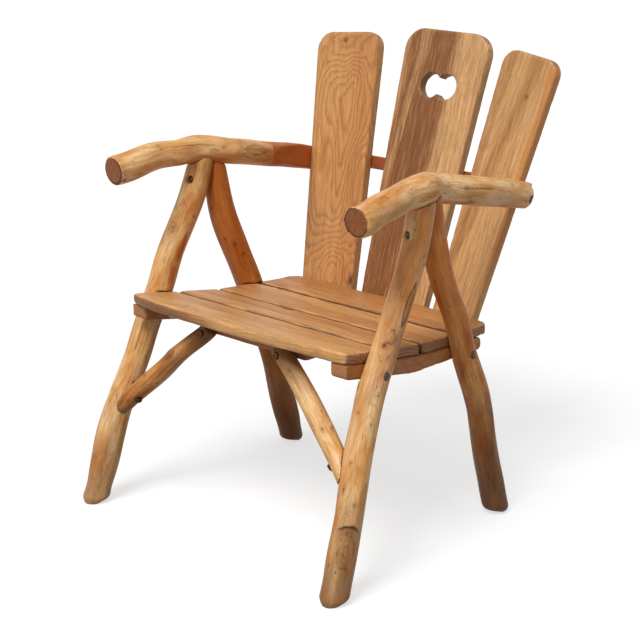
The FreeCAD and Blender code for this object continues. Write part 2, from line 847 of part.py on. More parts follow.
def dowel_places():
    places = []
    for side in (left, right):
        for stations in (front_leg_stations(side), rear_leg_stations(side)):
            top, radius = stations[-2]
            y = leg_joint_setback + (radius / 2.0 if top.y > leg_joint_setback else -radius / 2.0)
            arm, arm_radius = station_near(arm_stations(side), lambda spot: spot.y, y)
            foot = Vector(arm.x, y, arm.z - arm_radius + dowel_grip - dowel_length)
            places.append((foot, Vector(0, 0, 1), dowel_length))
    return places


def dowel(foot, direction, length):
    return cylinder(foot, direction, dowel_diameter / 2.0, length)


def dowel_way(foot, direction, length):
    start = foot - direction * dowel_end_room
    depth = length + dowel_end_room + dowel_end_room
    return [cylinder(start, direction, dowel_diameter / 2.0 + thread_fit, depth)]


def ways(way, places):
    return [tool for place in places for tool in way(*place)]


# Wooden pieces with their cuts

def lower_rail_half_length(y):
    return half_width_at(y) - rail_thickness - lower_rail_end_gap


def lower_back_rail():
    top = under_seat_at(back_face_under_seat().y)
    front_y = seat_depth - lower_rail_thickness
    side_outline = []
    for z in (top, top - lower_rail_depth):
        side_outline.append((on_back(0, back_v_at(z), 0).y, z, 0))
    side_outline.append((front_y, top - lower_rail_depth, 0))
    side_outline.append((front_y, under_seat_at(front_y), 0))
    wide = lower_rail_half_length(front_y)
    rear_y = seat_depth + back_gap
    narrow = lower_rail_half_length(rear_y)
    plan = [(-wide, front_y, 0), (wide, front_y, 0), (narrow, rear_y, 0), (-narrow, rear_y, 0)]
    rail = crossed_prisms(side_outline, plan)
    return rail.cut(ways(screw_way, lower_rail_screw_places()) + ways(screw_way, lower_screw_places()))


def upper_back_rail():
    v = upper_rail_v()
    low = v - upper_rail_depth / 2.0
    high = v + upper_rail_depth / 2.0
    left_end = arm_board_edge_x(left, v) - upper_rail_end_reach
    right_end = arm_board_edge_x(right, v) + upper_rail_end_reach
    outline = [
        (left_end, low, upper_rail_corner_radius),
        (right_end, low, upper_rail_corner_radius),
        (right_end, high, upper_rail_corner_radius),
        (left_end, high, upper_rail_corner_radius),
    ]
    face = outline_face(outline, lambda x, level: on_back(x, level, back_board_thickness))
    rail = face.extrude(back_forward() * -upper_rail_thickness)
    return rail.cut(ways(screw_way, upper_screw_places()))


def front_cleat():
    rear_y = cleat_setback + cleat_depth
    bottom = under_seat_at(cleat_setback) - cleat_height
    side_outline = [
        (cleat_setback, under_seat_at(cleat_setback), 0),
        (rear_y, under_seat_at(rear_y), 0),
        (rear_y, bottom, 0),
        (cleat_setback, bottom, 0),
    ]
    plan = [
        (-cleat_half_length, cleat_setback, cleat_corner_radius),
        (cleat_half_length, cleat_setback, cleat_corner_radius),
        (cleat_half_length, rear_y, 0),
        (-cleat_half_length, rear_y, 0),
    ]
    cleat = crossed_prisms(side_outline, plan)
    coach_ways = ways(coach_way, [brace_top_coach_place(side) for side in (left, right)])
    return cleat.cut(ways(screw_way, cleat_screw_places()) + coach_ways)


def rail_notch(stations, side, setback):
    # What a leg loses to the rail and the seat board ends beside it
    point, radius = station_near(stations, lambda spot: spot.z, rail_middle_z(setback))
    front = point.y - radius - overrun
    rear = point.y + radius + overrun
    outline = []
    for y in (front, point.y, rear):
        outline.append((y, top_line_at(y) + notch_room, 0))
    for y in (rear, point.y, front):
        outline.append((y, bottom_line_at(y) - notch_room, 0))
    plan = [
        (side * half_width_at(front), front, 0),
        (side * half_width_at(rear), rear, 0),
        (0, rear, 0),
        (0, front, 0),
    ]
    return crossed_prisms(outline, plan)


def top_line_at(y):
    return seat_top_at(max(y, 0))


def bottom_line_at(y):
    return rail_bottom_at(max(y, 0))


def joint_side(sign):
    # The space in front of (-1) or behind (+1) the plane where the leg tops meet
    size = seat_front_width + overrun
    tall = arm_crown_height + overrun
    start = leg_joint_setback if sign > 0 else leg_joint_setback - size
    return Part.makeBox(size + size, size, tall, Vector(-size, start, 0))


def front_leg(side):
    stations = front_leg_stations(side)
    leg = branch(stations, first_normal=Vector(0, 0, 1))
    tools = [rail_notch(stations, side, front_leg_rail_setback), joint_side(1)]
    tools.append(branch(arm_stations(side), scribe_gap))
    tools = tools + ways(bolt_way, rail_bolt_places()) + ways(bolt_way, [joint_bolt_place(side)])
    tools = tools + ways(coach_way, [brace_foot_coach_place(side)]) + ways(dowel_way, dowel_places())
    return largest(leg.cut(tools))


def rear_leg(side):
    stations = rear_leg_stations(side)
    leg = branch(stations, first_normal=Vector(0, 0, 1))
    tools = [rail_notch(stations, side, rear_leg_rail_setback), joint_side(-1)]
    tools.append(branch(arm_stations(side), scribe_gap))
    tools = tools + ways(bolt_way, rail_bolt_places()) + ways(bolt_way, [joint_bolt_place(side)])
    tools = tools + ways(dowel_way, dowel_places())
    return largest(leg.cut(tools))


def arm_flat_space(side):
    # The space on the inner side of the arm's flat, through the middle of the board's edge
    angle = left_arm_flat_angle if side == left else right_arm_flat_angle
    v = back_v_at(arm_rear_height())
    depth = back_board_thickness / 2.0
    edge = on_back(arm_board_edge_x(side, v), v, depth)
    higher = on_back(arm_board_edge_x(side, v + upper_rail_depth), v + upper_rail_depth, depth)
    rise = unit(higher - edge)
    run = unit(Vector(side * turned(angle), 1, 0))
    size = seat_depth + overrun
    square = unit(run.cross(rise))
    inward = square * (size if square.x * side < 0 else -size)
    corners = [edge - run * size - rise * size, edge + run * size - rise * size,
               edge + run * size + rise * size, edge - run * size + rise * size]
    return Part.Face(Part.makePolygon(corners + corners[:1])).extrude(inward)


def behind_boards():
    # The space behind the rear faces of the back boards
    size = seat_front_width + overrun
    corners = [on_back(x, v, back_board_thickness)
               for x, v in ((-size, -size), (size, -size), (size, size), (-size, size))]
    return Part.Face(Part.makePolygon(corners + corners[:1])).extrude(back_forward() * -size)


def arm(side):
    blank = branch(arm_stations(side))
    tools = [arm_flat_space(side), behind_boards(), back_blank(arm_board(side), 0, back_board_thickness)]
    tools = tools + ways(coach_way, [arm_coach_place(side)]) + ways(dowel_way, dowel_places())
    return largest(blank.cut(tools))


def above_brace():
    # The space from just below the first seat board upward
    front, rear, start, end, height, slope = seat_boards()[0]
    size = seat_front_width + overrun
    outline = [
        (front - overrun, under_seat_at(front) + overrun * slope - scribe_gap, 0),
        (rear, under_seat_at(rear) - scribe_gap, 0),
        (rear, seat_front_height, 0),
        (front - overrun, seat_front_height, 0),
    ]
    face = outline_face(outline, lambda y, z: Vector(-size, y, z))
    return face.extrude(Vector(size + size, 0, 0))


def brace(side):
    stations = brace_stations(side)
    blank = branch(stations)
    size = seat_front_width + overrun
    behind_cleat_face = Part.makeBox(size + size, size, size, Vector(-size, cleat_setback, 0))
    tools = [branch(front_leg_stations(side), scribe_gap), behind_cleat_face, above_brace()]
    tools = tools + ways(coach_way, [brace_top_coach_place(side), brace_foot_coach_place(side)])
    return largest(blank.cut(tools))


def largest(shape):
    return sorted(shape.Solids, key=lambda solid: solid.Volume)[-1]


def drilled_side_rail(side):
    tools = ways(bolt_way, rail_bolt_places())
    for number in range(len(seat_board_shares)):
        tools = tools + ways(screw_way, seat_screw_places(number))
    return largest(side_rail(side).cut(tools))


def drilled_seat_board(number):
    tools = ways(screw_way, seat_screw_places(number))
    if number == 0:
        tools = tools + ways(screw_way, cleat_screw_places())
    if number == len(seat_board_shares) - 1:
        tools = tools + ways(screw_way, lower_rail_screw_places())
    return seat_board(number).cut(tools)


def drilled_back_board(number):
    tools = ways(screw_way, upper_screw_places()) + ways(screw_way, lower_screw_places())
    tools = tools + ways(coach_way, arm_coach_places())
    return back_board(number).cut(tools)


def group(make, places):
    return Part.makeCompound([make(*place) for place in places])


# The chair, piece by piece

def wooden_pieces():
    pieces = {}
    for side, name in ((left, "left"), (right, "right")):
        pieces[name + "_front_leg"] = front_leg(side)
        pieces[name + "_rear_leg"] = rear_leg(side)
        pieces[name + "_arm"] = arm(side)
        pieces[name + "_side_rail"] = drilled_side_rail(side)
        pieces[name + "_brace"] = brace(side)
    for number in range(len(seat_board_shares)):
        pieces["seat_board_" + str(number + 1)] = drilled_seat_board(number)
    for number, name in enumerate(("left", "centre", "right")):
        pieces[name + "_back_board"] = drilled_back_board(number)
    pieces["upper_back_rail"] = upper_back_rail()
    pieces["lower_back_rail"] = lower_back_rail()
    pieces["front_cleat"] = front_cleat()
    return pieces


def fasteners():
    sides = (left, right)
    seat_screws = [place for number in range(len(seat_board_shares)) for place in seat_screw_places(number)]
    return {
        "rail_bolts": group(domed_bolt, rail_bolt_places()),
        "rail_washers": group(washer, rail_bolt_places()),
        "rail_nuts": group(nut, rail_bolt_places()),
        "leg_joint_bolts": group(domed_bolt, joint_bolt_places()),
        "leg_joint_washers": group(washer, joint_bolt_places()),
        "leg_joint_nuts": group(nut, joint_bolt_places()),
        "arm_coach_screws": group(coach_screw, arm_coach_places()),
        "arm_dowels": group(dowel, dowel_places()),
        "brace_top_screws": group(coach_screw, [brace_top_coach_place(side) for side in sides]),
        "brace_foot_screws": group(coach_screw, [brace_foot_coach_place(side) for side in sides]),
        "seat_screws": group(wood_screw, seat_screws),
        "cleat_screws": group(wood_screw, cleat_screw_places()),
        "lower_rail_screws": group(wood_screw, lower_rail_screw_places()),
        "back_upper_screws": group(wood_screw, upper_screw_places()),
        "back_lower_screws": group(wood_screw, lower_screw_places()),
    }


def write_chair():
    pieces = wooden_pieces()
    pieces.update(fasteners())
    box = Part.makeCompound(list(pieces.values())).optimalBoundingBox(False)
    shift = Vector(-(box.XMin + box.XMax) / 2.0, -(box.YMin + box.YMax) / 2.0, -box.ZMin)
    print("chair moved by", shift)
    print("chair size", box.XLength, box.YLength, box.ZLength)
    os.makedirs("parts", exist_ok=True)
    for name, shape in pieces.items():
        shape.translate(shift)
        print(name, len(shape.Solids), "solids, valid" if shape.isValid() else "solids, NOT VALID")
        shape.exportStep("parts/" + name + ".step")


write_chair()
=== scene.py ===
import functools
import itertools
import math

import bmesh
import bpy
import numpy as np
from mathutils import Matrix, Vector


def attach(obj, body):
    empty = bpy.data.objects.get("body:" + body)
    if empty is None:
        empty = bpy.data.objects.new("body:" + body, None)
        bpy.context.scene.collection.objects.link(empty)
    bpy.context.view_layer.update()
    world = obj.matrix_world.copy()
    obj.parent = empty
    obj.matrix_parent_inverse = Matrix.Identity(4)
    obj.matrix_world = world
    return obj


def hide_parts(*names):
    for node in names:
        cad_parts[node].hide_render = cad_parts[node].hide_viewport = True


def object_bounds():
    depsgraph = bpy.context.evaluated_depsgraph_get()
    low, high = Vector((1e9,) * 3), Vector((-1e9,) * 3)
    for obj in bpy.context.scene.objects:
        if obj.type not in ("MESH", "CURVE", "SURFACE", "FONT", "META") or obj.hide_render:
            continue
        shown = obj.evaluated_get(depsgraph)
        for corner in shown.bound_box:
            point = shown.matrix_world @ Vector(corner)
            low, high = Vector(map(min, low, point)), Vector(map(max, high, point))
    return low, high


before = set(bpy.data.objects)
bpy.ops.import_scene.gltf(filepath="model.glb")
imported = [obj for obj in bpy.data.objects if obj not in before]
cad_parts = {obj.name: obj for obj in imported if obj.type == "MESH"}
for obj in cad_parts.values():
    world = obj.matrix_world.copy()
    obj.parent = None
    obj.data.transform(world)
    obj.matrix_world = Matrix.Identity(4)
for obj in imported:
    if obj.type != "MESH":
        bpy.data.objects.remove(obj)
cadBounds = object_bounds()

print("frame loaded,", len(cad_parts), "nodes")

mm = 0.001  # every length below is written in millimetres and turned to metres with this
oiledWoodIor = 1.46


# Small tools for the shader trees

def linearColour(hexCode):
    # sRGB hex to the linear colour that the shaders take
    parts = [int(hexCode[i:i + 2], 16) / 255 for i in (1, 3, 5)]
    return tuple(c / 12.92 if c <= 0.04045 else ((c + 0.055) / 1.055) ** 2.4 for c in parts) + (1.0,)


def tints(look):
    return {name: linearColour(value) for name, value in look.items() if str(value).startswith("#")}


def setSockets(node, links):
    # each socket takes a value, an output, or the first output in use of a node;
    # a colour mix has its share in socket 0 and its two colours in 6 and 7
    for socket, value in links.items():
        if isinstance(value, bpy.types.Node):
            value = next(output for output in value.outputs if output.enabled)
        if isinstance(value, bpy.types.NodeSocket):
            node.id_data.links.new(value, node.inputs[socket])
        else:
            node.inputs[socket].default_value = value


def addNode(tree, kind, links=None, ramp=None, **settings):
    # one node with its settings and links; a ramp's stops are a place with a colour or a grey
    node = tree.nodes.new("ShaderNode" + kind)
    for name, value in settings.items():
        setattr(node, name, value)
    if ramp:
        stops = node.color_ramp.elements
        while len(stops) < len(ramp):
            stops.new(0.5)
        for stop, (place, colour) in zip(stops, ramp):
            stop.position = place
            stop.color = colour if isinstance(colour, tuple) else (colour, colour, colour, 1)
    setSockets(node, links or {})
    return node


def newMaterial(name):
    # the material, its shader, and the adding of nodes to its tree
    material = bpy.data.materials.new(name)
    material.use_nodes = True
    tree = material.node_tree
    return material, tree.nodes["Principled BSDF"], functools.partial(addNode, tree)


# Seeded noise and mesh tools in numpy

def latticeValue(cells, seed):
    mixed = (cells[:, 0] * 73856093) ^ (cells[:, 1] * 19349663) ^ (cells[:, 2] * 83492791) ^ (seed * 9176741)
    mixed = (mixed ^ (mixed >> 13)) * 1274126177
    mixed = mixed ^ (mixed >> 16)
    return (mixed & 0xFFFF) / 65535.0


def softNoise(points, across, along, seed):
    # smooth values from -1 to 1, in cells of the given size across and along the wood
    scaled = points / np.array([across, across, along], float)
    base = np.floor(scaled).astype(np.int64)
    part = scaled - base
    part = part * part * (3 - 2 * part)
    total = np.zeros(len(points))
    for corner in itertools.product((0, 1), repeat=3):
        weight = np.prod(np.where(np.array(corner) == 1, part, 1 - part), axis=1)
        total += weight * latticeValue(base + np.array(corner), seed)
    return total * 2 - 1


def smoothStep(low, high, values):
    part = np.clip((values - low) / (high - low), 0, 1)
    return part * part * (3 - 2 * part)


def softBand(left, right, soft, place):
    return smoothStep(left - soft, left + soft, place) * smoothStep(right + soft, right - soft, place)


def remeshedCopy(node, name, voxel):
    # an even skin of small quads over the node's solid, to carve and to carry the grain
    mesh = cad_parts[node].data.copy()
    mesh.materials.clear()
    tidy = bmesh.new()
    tidy.from_mesh(mesh)
    bmesh.ops.remove_doubles(tidy, verts=tidy.verts, dist=0.01 * mm)
    tidy.to_mesh(mesh)
    tidy.free()
    piece = bpy.data.objects.new(name, mesh)
    bpy.context.scene.collection.objects.link(piece)
    skin = piece.modifiers.new("skin", "REMESH")
    skin.mode = "VOXEL"
    skin.voxel_size = voxel * mm
    skin.use_smooth_shade = True
    solid = bpy.data.meshes.new_from_object(piece.evaluated_get(bpy.context.evaluated_depsgraph_get()))
    piece.modifiers.clear()
    piece.data = solid
    bpy.data.meshes.remove(mesh)
    return piece


def readVectors(items, field, kind=np.float32, width=3):
    values = np.empty(len(items) * width, kind)
    items.foreach_get(field, values)
    return values.reshape(-1, width)


def writePoints(mesh, points):
    mesh.vertices.foreach_set("co", (points * mm).astype(np.float32).ravel())
    mesh.update()


def relaxed(values, edges, rounds, share=0.5):
    # each value moves a share of the way to the mean of its neighbours
    count = len(values)
    ends = np.concatenate([edges[:, 0], edges[:, 1]])
    others = np.concatenate([edges[:, 1], edges[:, 0]])
    number = np.maximum(np.bincount(ends, minlength=count), 1)
    for _ in range(rounds):
        sums = np.stack([np.bincount(ends, values[others, k], count) for k in range(values.shape[1])], 1)
        values = values + (sums / number[:, None] - values) * share
    return values


def evenSkin(mesh, rounds):
    # the remeshed skin without its steps: points in mm, edges and normals
    edges = readVectors(mesh.edges, "vertices", np.int32, 2)
    points = relaxed(readVectors(mesh.vertices, "co").astype(float) / mm, edges, rounds)
    writePoints(mesh, points)
    return points, edges, readVectors(mesh.vertex_normals, "vector").astype(float)


def keepInside(points):
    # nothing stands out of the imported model's box or goes through the floor
    low, high = (np.array(corner) / mm for corner in cadBounds)
    return np.clip(points, low, high)


def finishWood(piece, node, slot, choice, **vectors):
    # stores what the shader reads, and ties the piece to the chair
    for name, parts in vectors.items():
        attribute = piece.data.attributes.new(name, "FLOAT_VECTOR", "POINT")
        attribute.data.foreach_set("vector", np.stack(parts, 1).astype(np.float32).ravel())
    piece.data.materials.append(choice["material"])
    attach(piece, "root")
    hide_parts(node)
    print("wood", choice["name"], len(piece.data.vertices), "points")


# Wood materials. Both read three vectors stored on the mesh:
# grain is the place in the wood in metres (two across, one along the fibres),
# figure is ring distance in metres, the share of stain or heartwood, which on the left arm's rear end holds
# painted shade too, and knot share, the third vector holds grime together with painted shade, dark marks
# together with a painted shadow under a limb step, and end grain.

def readWood(add):
    grain, figure, wear = (add("Attribute", attribute_name=name).outputs["Vector"]
                           for name in ("grain", "figure", "wear"))
    return grain, add("SeparateXYZ", {0: figure}).outputs, add("SeparateXYZ", {0: wear}).outputs


def woodPlace(add, grain, across, along):
    # the grain's place measured in pattern sizes, given in mm across and along the fibres
    sizes = (1 / (across * mm), 1 / (across * mm), 1 / (along * mm))
    return add("VectorMath", {0: grain, 1: sizes}, operation="MULTIPLY")


def peeledBranch(name, look):
    # Debarked hardwood branch, drawknife-peeled and oiled: the eye gets a satin skin with soft long streaks,
    # hairline drying cracks, pin knots and end grain that is much darker than the sides
    material, shader, add = newMaterial(name)
    tint = tints(look)
    grain, (ringDistance, stainAndShade, knot), (grime, dark, sawnEnd) = readWood(add)

    patchPlace = woodPlace(add, grain, look["patchAcross"], look["patchAlong"])
    patches = add("TexNoise", {"Vector": patchPlace, "Scale": 1, "Detail": 3})
    colour = add("ValToRGB", {0: patches}, ramp=[
        (0.34, tint["pale"]), (0.52, tint["honey"]), (0.68, tint["amber"])])
    streakPlace = woodPlace(add, grain, look["streakAcross"], look["streakAlong"])
    streaks = add("TexNoise", {"Vector": streakPlace, "Scale": 1, "Detail": 4, "Roughness": 0.6})
    streakShare = add("ValToRGB", {0: streaks}, ramp=[(0.47, 0), (0.70, look["streakShare"])])

    # rings show as thin contour lines where the knife has cut across them
    ringTurns = add("Math", {0: ringDistance, 1: 1 / (look["ringWidth"] * mm)}, operation="MULTIPLY")
    ringPart = add("Math", {0: ringTurns}, operation="FRACT")
    ringLine = add("ValToRGB", {0: ringPart}, ramp=[(0, 0), (0.62, 0), (0.84, look["ringShare"]), (0.98, 0)])
    for share in (streakShare, ringLine):
        colour = add("Mix", {0: share, 6: colour, 7: tint["streak"]}, data_type="RGBA")

    # fibres about 0.8 mm apart, the finest that a render still shows
    fibres = add("TexNoise", {"Vector": woodPlace(add, grain, 0.8, 26), "Scale": 1})
    fibreTone = add("MapRange", {0: fibres, 1: 0.3, 2: 0.7, 3: look["fibreLow"], 4: look["fibreHigh"]})
    colour = add("Mix", {0: 1, 6: colour, 7: fibreTone}, data_type="RGBA", blend_type="MULTIPLY")

    # hairline drying cracks: the thin middle line of a stretched noise, here and there
    crackNoise = add("TexNoise", {"Vector": woodPlace(add, grain, 5, 75), "Scale": 1})
    crackOffset = add("Math", {0: crackNoise, 1: 0.5}, operation="SUBTRACT")
    crackSide = add("Math", {0: crackOffset}, operation="ABSOLUTE")
    crackLine = add("MapRange", {0: crackSide, 1: 0, 2: 0.016, 3: look["crackShare"], 4: 0})
    crackWhere = add("TexNoise", {"Vector": woodPlace(add, grain, 22, 60), "Scale": 1, "Detail": 1})
    crackGate = add("MapRange", {0: crackWhere, 1: 0.50, 2: 0.62})
    cracks = add("Math", {0: crackLine, 1: crackGate}, operation="MULTIPLY")

    # pin knots and insect marks, 1 to 2 mm across
    pins = add("TexVoronoi", {"Vector": woodPlace(add, grain, 15, 30), "Scale": 1})
    pinSpot = add("MapRange", {0: pins.outputs["Distance"], 1: 0.05, 2: 0.12, 3: look["pinShare"], 4: 0})
    pinPick = add("SeparateColor", {0: pins.outputs["Color"]})
    pinGate = add("Math", {0: pinPick, 1: 0.76}, operation="GREATER_THAN")
    pinMarks = add("Math", {0: pinSpot, 1: pinGate}, operation="MULTIPLY")

    lined = add("Math", {0: cracks, 1: pinMarks}, operation="MAXIMUM")
    allDark = add("Math", {0: lined, 1: dark}, operation="MAXIMUM", use_clamp=True)
    # the grime share also holds painted shade at the brace tops, the stain share painted shade at the left
    # arm's rear end, and the dark share a painted shadow under a limb step
    for share, tone in ((stainAndShade, "stainAndShade"), (knot, "knot"), (grime, "grime"), (allDark, "mark")):
        colour = add("Mix", {0: share, 6: colour, 7: tint[tone]}, data_type="RGBA")

    # sawn end: rings, rays from the heart and a dark rim
    across, sideways = add("SeparateXYZ", {0: grain}).outputs[:2]
    flat = add("CombineXYZ", {0: across, 1: sideways})
    outward = add("VectorMath", {0: flat}, operation="LENGTH")
    angle = add("Math", {0: sideways, 1: across}, operation="ARCTAN2")
    wobble = add("TexNoise", {"Vector": woodPlace(add, grain, 9, 9), "Scale": 1})
    bentOut = add("Math", {0: wobble, 1: look["endWobble"] * mm, 2: outward}, operation="MULTIPLY_ADD")
    endTurns = add("Math", {0: bentOut, 1: 1 / (look["endRingWidth"] * mm)}, operation="MULTIPLY")
    endPart = add("Math", {0: endTurns}, operation="FRACT")
    rayPlace = add("CombineXYZ", {0: angle, 1: outward})
    rayScaled = add("VectorMath", {0: rayPlace, 1: (9, 30, 1)}, operation="MULTIPLY")
    rays = add("TexNoise", {"Vector": rayScaled, "Scale": 1, "Detail": 3})
    endTone = add("Math", {0: endPart, 1: look["endRingShare"], 2: rays}, operation="MULTIPLY_ADD")
    endColour = add("ValToRGB", {0: endTone}, ramp=[
        (0.26, tint["endPale"]), (0.62, tint["endBrown"]), (1, tint["endDark"])])
    rim = add("MapRange", {0: outward, 1: 23.5 * mm, 2: 26.5 * mm, 3: 0, 4: 0.75})
    rimmed = add("Mix", {0: rim, 6: endColour, 7: tint["endRim"]}, data_type="RGBA")
    whole = add("Mix", {0: sawnEnd, 6: colour, 7: rimmed}, data_type="RGBA")

    sheen = add("MapRange", {0: patches, 1: 0.3, 2: 0.7, 3: look["gloss"], 4: look["matt"]})
    relief = add("Math", {0: fibres, 1: 0.35, 2: streaks}, operation="MULTIPLY_ADD")
    sunk = add("Math", {0: relief, 1: allDark}, operation="SUBTRACT")
    bump = add("Bump", {"Strength": look["bump"], "Distance": 0.5 * mm, "Height": sunk})
    setSockets(shader, {"Base Color": whole, "Roughness": sheen, "IOR": oiledWoodIor,
                        "Specular IOR Level": look["shine"], "Normal": bump})
    return material


def sawnTeak(name, look):
    # Teak board, planed, with eased edges and oiled: the eye gets a satin face with growth-ring figure,
    # short open pores, a slow change of tone and darker, duller end grain
    material, shader, add = newMaterial(name)
    tint = tints(look)
    grain, (ringDistance, heart, knot), (grime, dark, sawnEnd) = readWood(add)

    # heartwood mixes into the sapwood in long streaks
    mottlePlace = woodPlace(add, grain, look["mottleAcross"], look["mottleAlong"])
    mottle = add("TexNoise", {"Vector": mottlePlace, "Scale": 1, "Detail": 4, "Roughness": 0.65})
    heartRough = add("Math", {0: mottle, 1: look["mottle"], 2: heart}, operation="MULTIPLY_ADD")
    heartShare = add("MapRange", {0: heartRough, 1: look["mottle"] * 0.5, 2: look["mottle"] * 0.5 + 1})

    # growth rings: light early wood that darkens slowly and stops at a dark line
    shiver = add("TexNoise", {"Vector": woodPlace(add, grain, 5, 30), "Scale": 1, "Detail": 3})
    ringTurns = add("Math", {0: ringDistance, 1: 1 / (look["ringWidth"] * mm)}, operation="MULTIPLY")
    ringMoved = add("Math", {0: shiver, 1: look["shiver"], 2: ringTurns}, operation="MULTIPLY_ADD")
    ringPart = add("Math", {0: ringMoved}, operation="FRACT")
    ringDark = add("ValToRGB", {0: ringPart}, ramp=[
        (0, 0.3), (0.10, 0), (0.50, 0.15), (0.72, 0.65), (0.87, 1), (1, 0.3)])
    ringAmount = add("Math", {0: ringDark, 1: look["ringShare"]}, operation="MULTIPLY")
    sap = add("Mix", {0: ringAmount, 6: tint["sapPale"], 7: tint["sapDark"]}, data_type="RGBA")
    core = add("Mix", {0: ringAmount, 6: tint["heartPale"], 7: tint["heartDark"]}, data_type="RGBA")
    body = add("Mix", {0: heartShare, 6: sap, 7: core}, data_type="RGBA")

    # broad streaks of tone along the board
    streakPlace = woodPlace(add, grain, look["streakAcross"], look["streakAlong"])
    streaks = add("TexNoise", {"Vector": streakPlace, "Scale": 1, "Detail": 4, "Roughness": 0.6})
    streakTone = add("MapRange", {0: streaks, 1: 0.3, 2: 0.7, 3: look["streakLow"], 4: look["streakHigh"]})
    toned = add("Mix", {0: 1, 6: body, 7: streakTone}, data_type="RGBA", blend_type="MULTIPLY")

    # thin dark veins that wander along the board: the middle lines of a stretched noise, here and there
    veinPlace = woodPlace(add, grain, look["veinAcross"], look["veinAlong"])
    veinNoise = add("TexNoise", {"Vector": veinPlace, "Scale": 1, "Detail": 3, "Roughness": 0.55})
    veinOffset = add("Math", {0: veinNoise, 1: 0.5}, operation="SUBTRACT")
    veinSide = add("Math", {0: veinOffset}, operation="ABSOLUTE")
    veinLine = add("MapRange", {0: veinSide, 1: 0, 2: 0.022, 3: look["veinShare"], 4: 0})
    veinWhere = add("TexNoise", {"Vector": woodPlace(add, grain, 40, 120), "Scale": 1, "Detail": 1})
    veinGate = add("MapRange", {0: veinWhere, 1: 0.42, 2: 0.60})
    veins = add("Math", {0: veinLine, 1: veinGate}, operation="MULTIPLY")
    colour = add("Mix", {0: veins, 6: toned, 7: tint["vein"]}, data_type="RGBA")

    # fibres about 0.7 mm apart, the finest that a render still shows, and flecks: short light and dark
    # lines 2 mm wide, bent by the same wander as the rings
    fibres = add("TexNoise", {"Vector": woodPlace(add, grain, 0.7, 22), "Scale": 1})
    bend = add("Math", {0: ringDistance, 1: look["fleckBend"]}, operation="MULTIPLY")
    bendPlace = add("CombineXYZ", {0: bend})
    bentGrain = add("VectorMath", {0: grain, 1: bendPlace}, operation="ADD")
    fleckPlace = woodPlace(add, bentGrain, 2, 42)
    flecks = add("TexNoise", {"Vector": fleckPlace, "Scale": 1, "Detail": 3, "Roughness": 0.7})
    for pattern, low, high, dim, bright in ((fibres, 0.3, 0.7, 0.80, 1.13),
                                            (flecks, 0.34, 0.66, look["fleckLow"], look["fleckHigh"])):
        tone = add("MapRange", {0: pattern, 1: low, 2: high, 3: dim, 4: bright})
        colour = add("Mix", {0: 1, 6: colour, 7: tone}, data_type="RGBA", blend_type="MULTIPLY")

    # open pores: dark dashes 1 mm wide and about 10 mm long
    pores = add("TexNoise", {"Vector": woodPlace(add, grain, 1, 11), "Scale": 1, "Detail": 1})
    poreMask = add("MapRange", {0: pores, 1: 0.64, 2: 0.74, 3: 0, 4: look["poreShare"]})
    # the grime share also holds painted shade on the faces between seat boards and on the front seat board's
    # front face
    for share, tone in ((poreMask, "pore"), (knot, "knot"), (grime, "grime"), (dark, "mark")):
        colour = add("Mix", {0: share, 6: colour, 7: tint[tone]}, data_type="RGBA")
    endTone = add("Math", {0: ringDark, 1: 0.5, 2: pores}, operation="MULTIPLY_ADD")
    endColour = add("ValToRGB", {0: endTone}, ramp=[(0.4, tint["endPale"]), (0.95, tint["endDark"])])
    endAmount = add("Math", {0: sawnEnd, 1: 0.85}, operation="MULTIPLY")
    whole = add("Mix", {0: endAmount, 6: colour, 7: endColour}, data_type="RGBA")

    sheen = add("MapRange", {0: streaks, 1: 0.3, 2: 0.7, 3: look["gloss"], 4: look["matt"]})
    relief = add("Math", {0: ringDark, 1: -0.25, 2: fibres}, operation="MULTIPLY_ADD")
    sunk = add("Math", {0: relief, 1: poreMask}, operation="SUBTRACT")
    bump = add("Bump", {"Strength": look["bump"], "Distance": 0.35 * mm, "Height": sunk})
    setSockets(shader, {"Base Color": whole, "Roughness": sheen, "IOR": oiledWoodIor,
                        "Specular IOR Level": look["shine"], "Normal": bump})
    return material


# Branches: legs, arms and braces

def centreLine(points, hint, slices=44, steps=260):
    # middles of the slices across the branch's length, evened out, then made fine
    middle = points.mean(0)
    axes = np.linalg.eigh(np.cov((points - middle).T))[1]
    axis = axes[:, -1] * np.sign(axes[:, -1] @ np.array(hint, float))
    along = (points - middle) @ axis
    edges = np.linspace(along.min(), along.max(), slices + 1)
    which = np.clip(np.digitize(along, edges) - 1, 0, slices - 1)
    centres = np.array([points[which == k].mean(0) for k in range(slices)])
    for _ in range(4):
        centres[1:-1] = (centres[:-2] + centres[1:-1] + centres[2:]) / 3
        centres[0] = 2 * centres[1] - centres[2]
        centres[-1] = 2 * centres[-2] - centres[-3]
    places = (edges[:-1] + edges[1:]) / 2
    fine = np.linspace(places[0], places[-1], steps)
    return np.stack([np.interp(fine, places, centres[:, k]) for k in range(3)], 1)


def followLine(points, line, reference, blockSize=4000):
    # for every point: its place along the line, two places across it, the line's direction and the way out
    tangents = np.gradient(line, axis=0)
    tangents /= np.linalg.norm(tangents, axis=1)[:, None]
    lengths = np.concatenate([[0], np.cumsum(np.linalg.norm(np.diff(line, axis=0), axis=1))])
    nearest = np.empty(len(points), int)
    for start in range(0, len(points), blockSize):
        block = points[start:start + blockSize]
        gaps = ((block[:, None, :] - line[None, :, :]) ** 2).sum(2)
        nearest[start:start + blockSize] = gaps.argmin(1)
    tangent = tangents[nearest]
    offset = points - line[nearest]
    ahead = (offset * tangent).sum(1)
    radial = offset - tangent * ahead[:, None]
    side = np.array(reference, float) - tangent * (tangent @ np.array(reference, float))[:, None]
    side /= np.linalg.norm(side, axis=1)[:, None]
    up = np.cross(tangent, side)
    return lengths[nearest] + ahead, (radial * side).sum(1), (radial * up).sum(1), tangent, radial


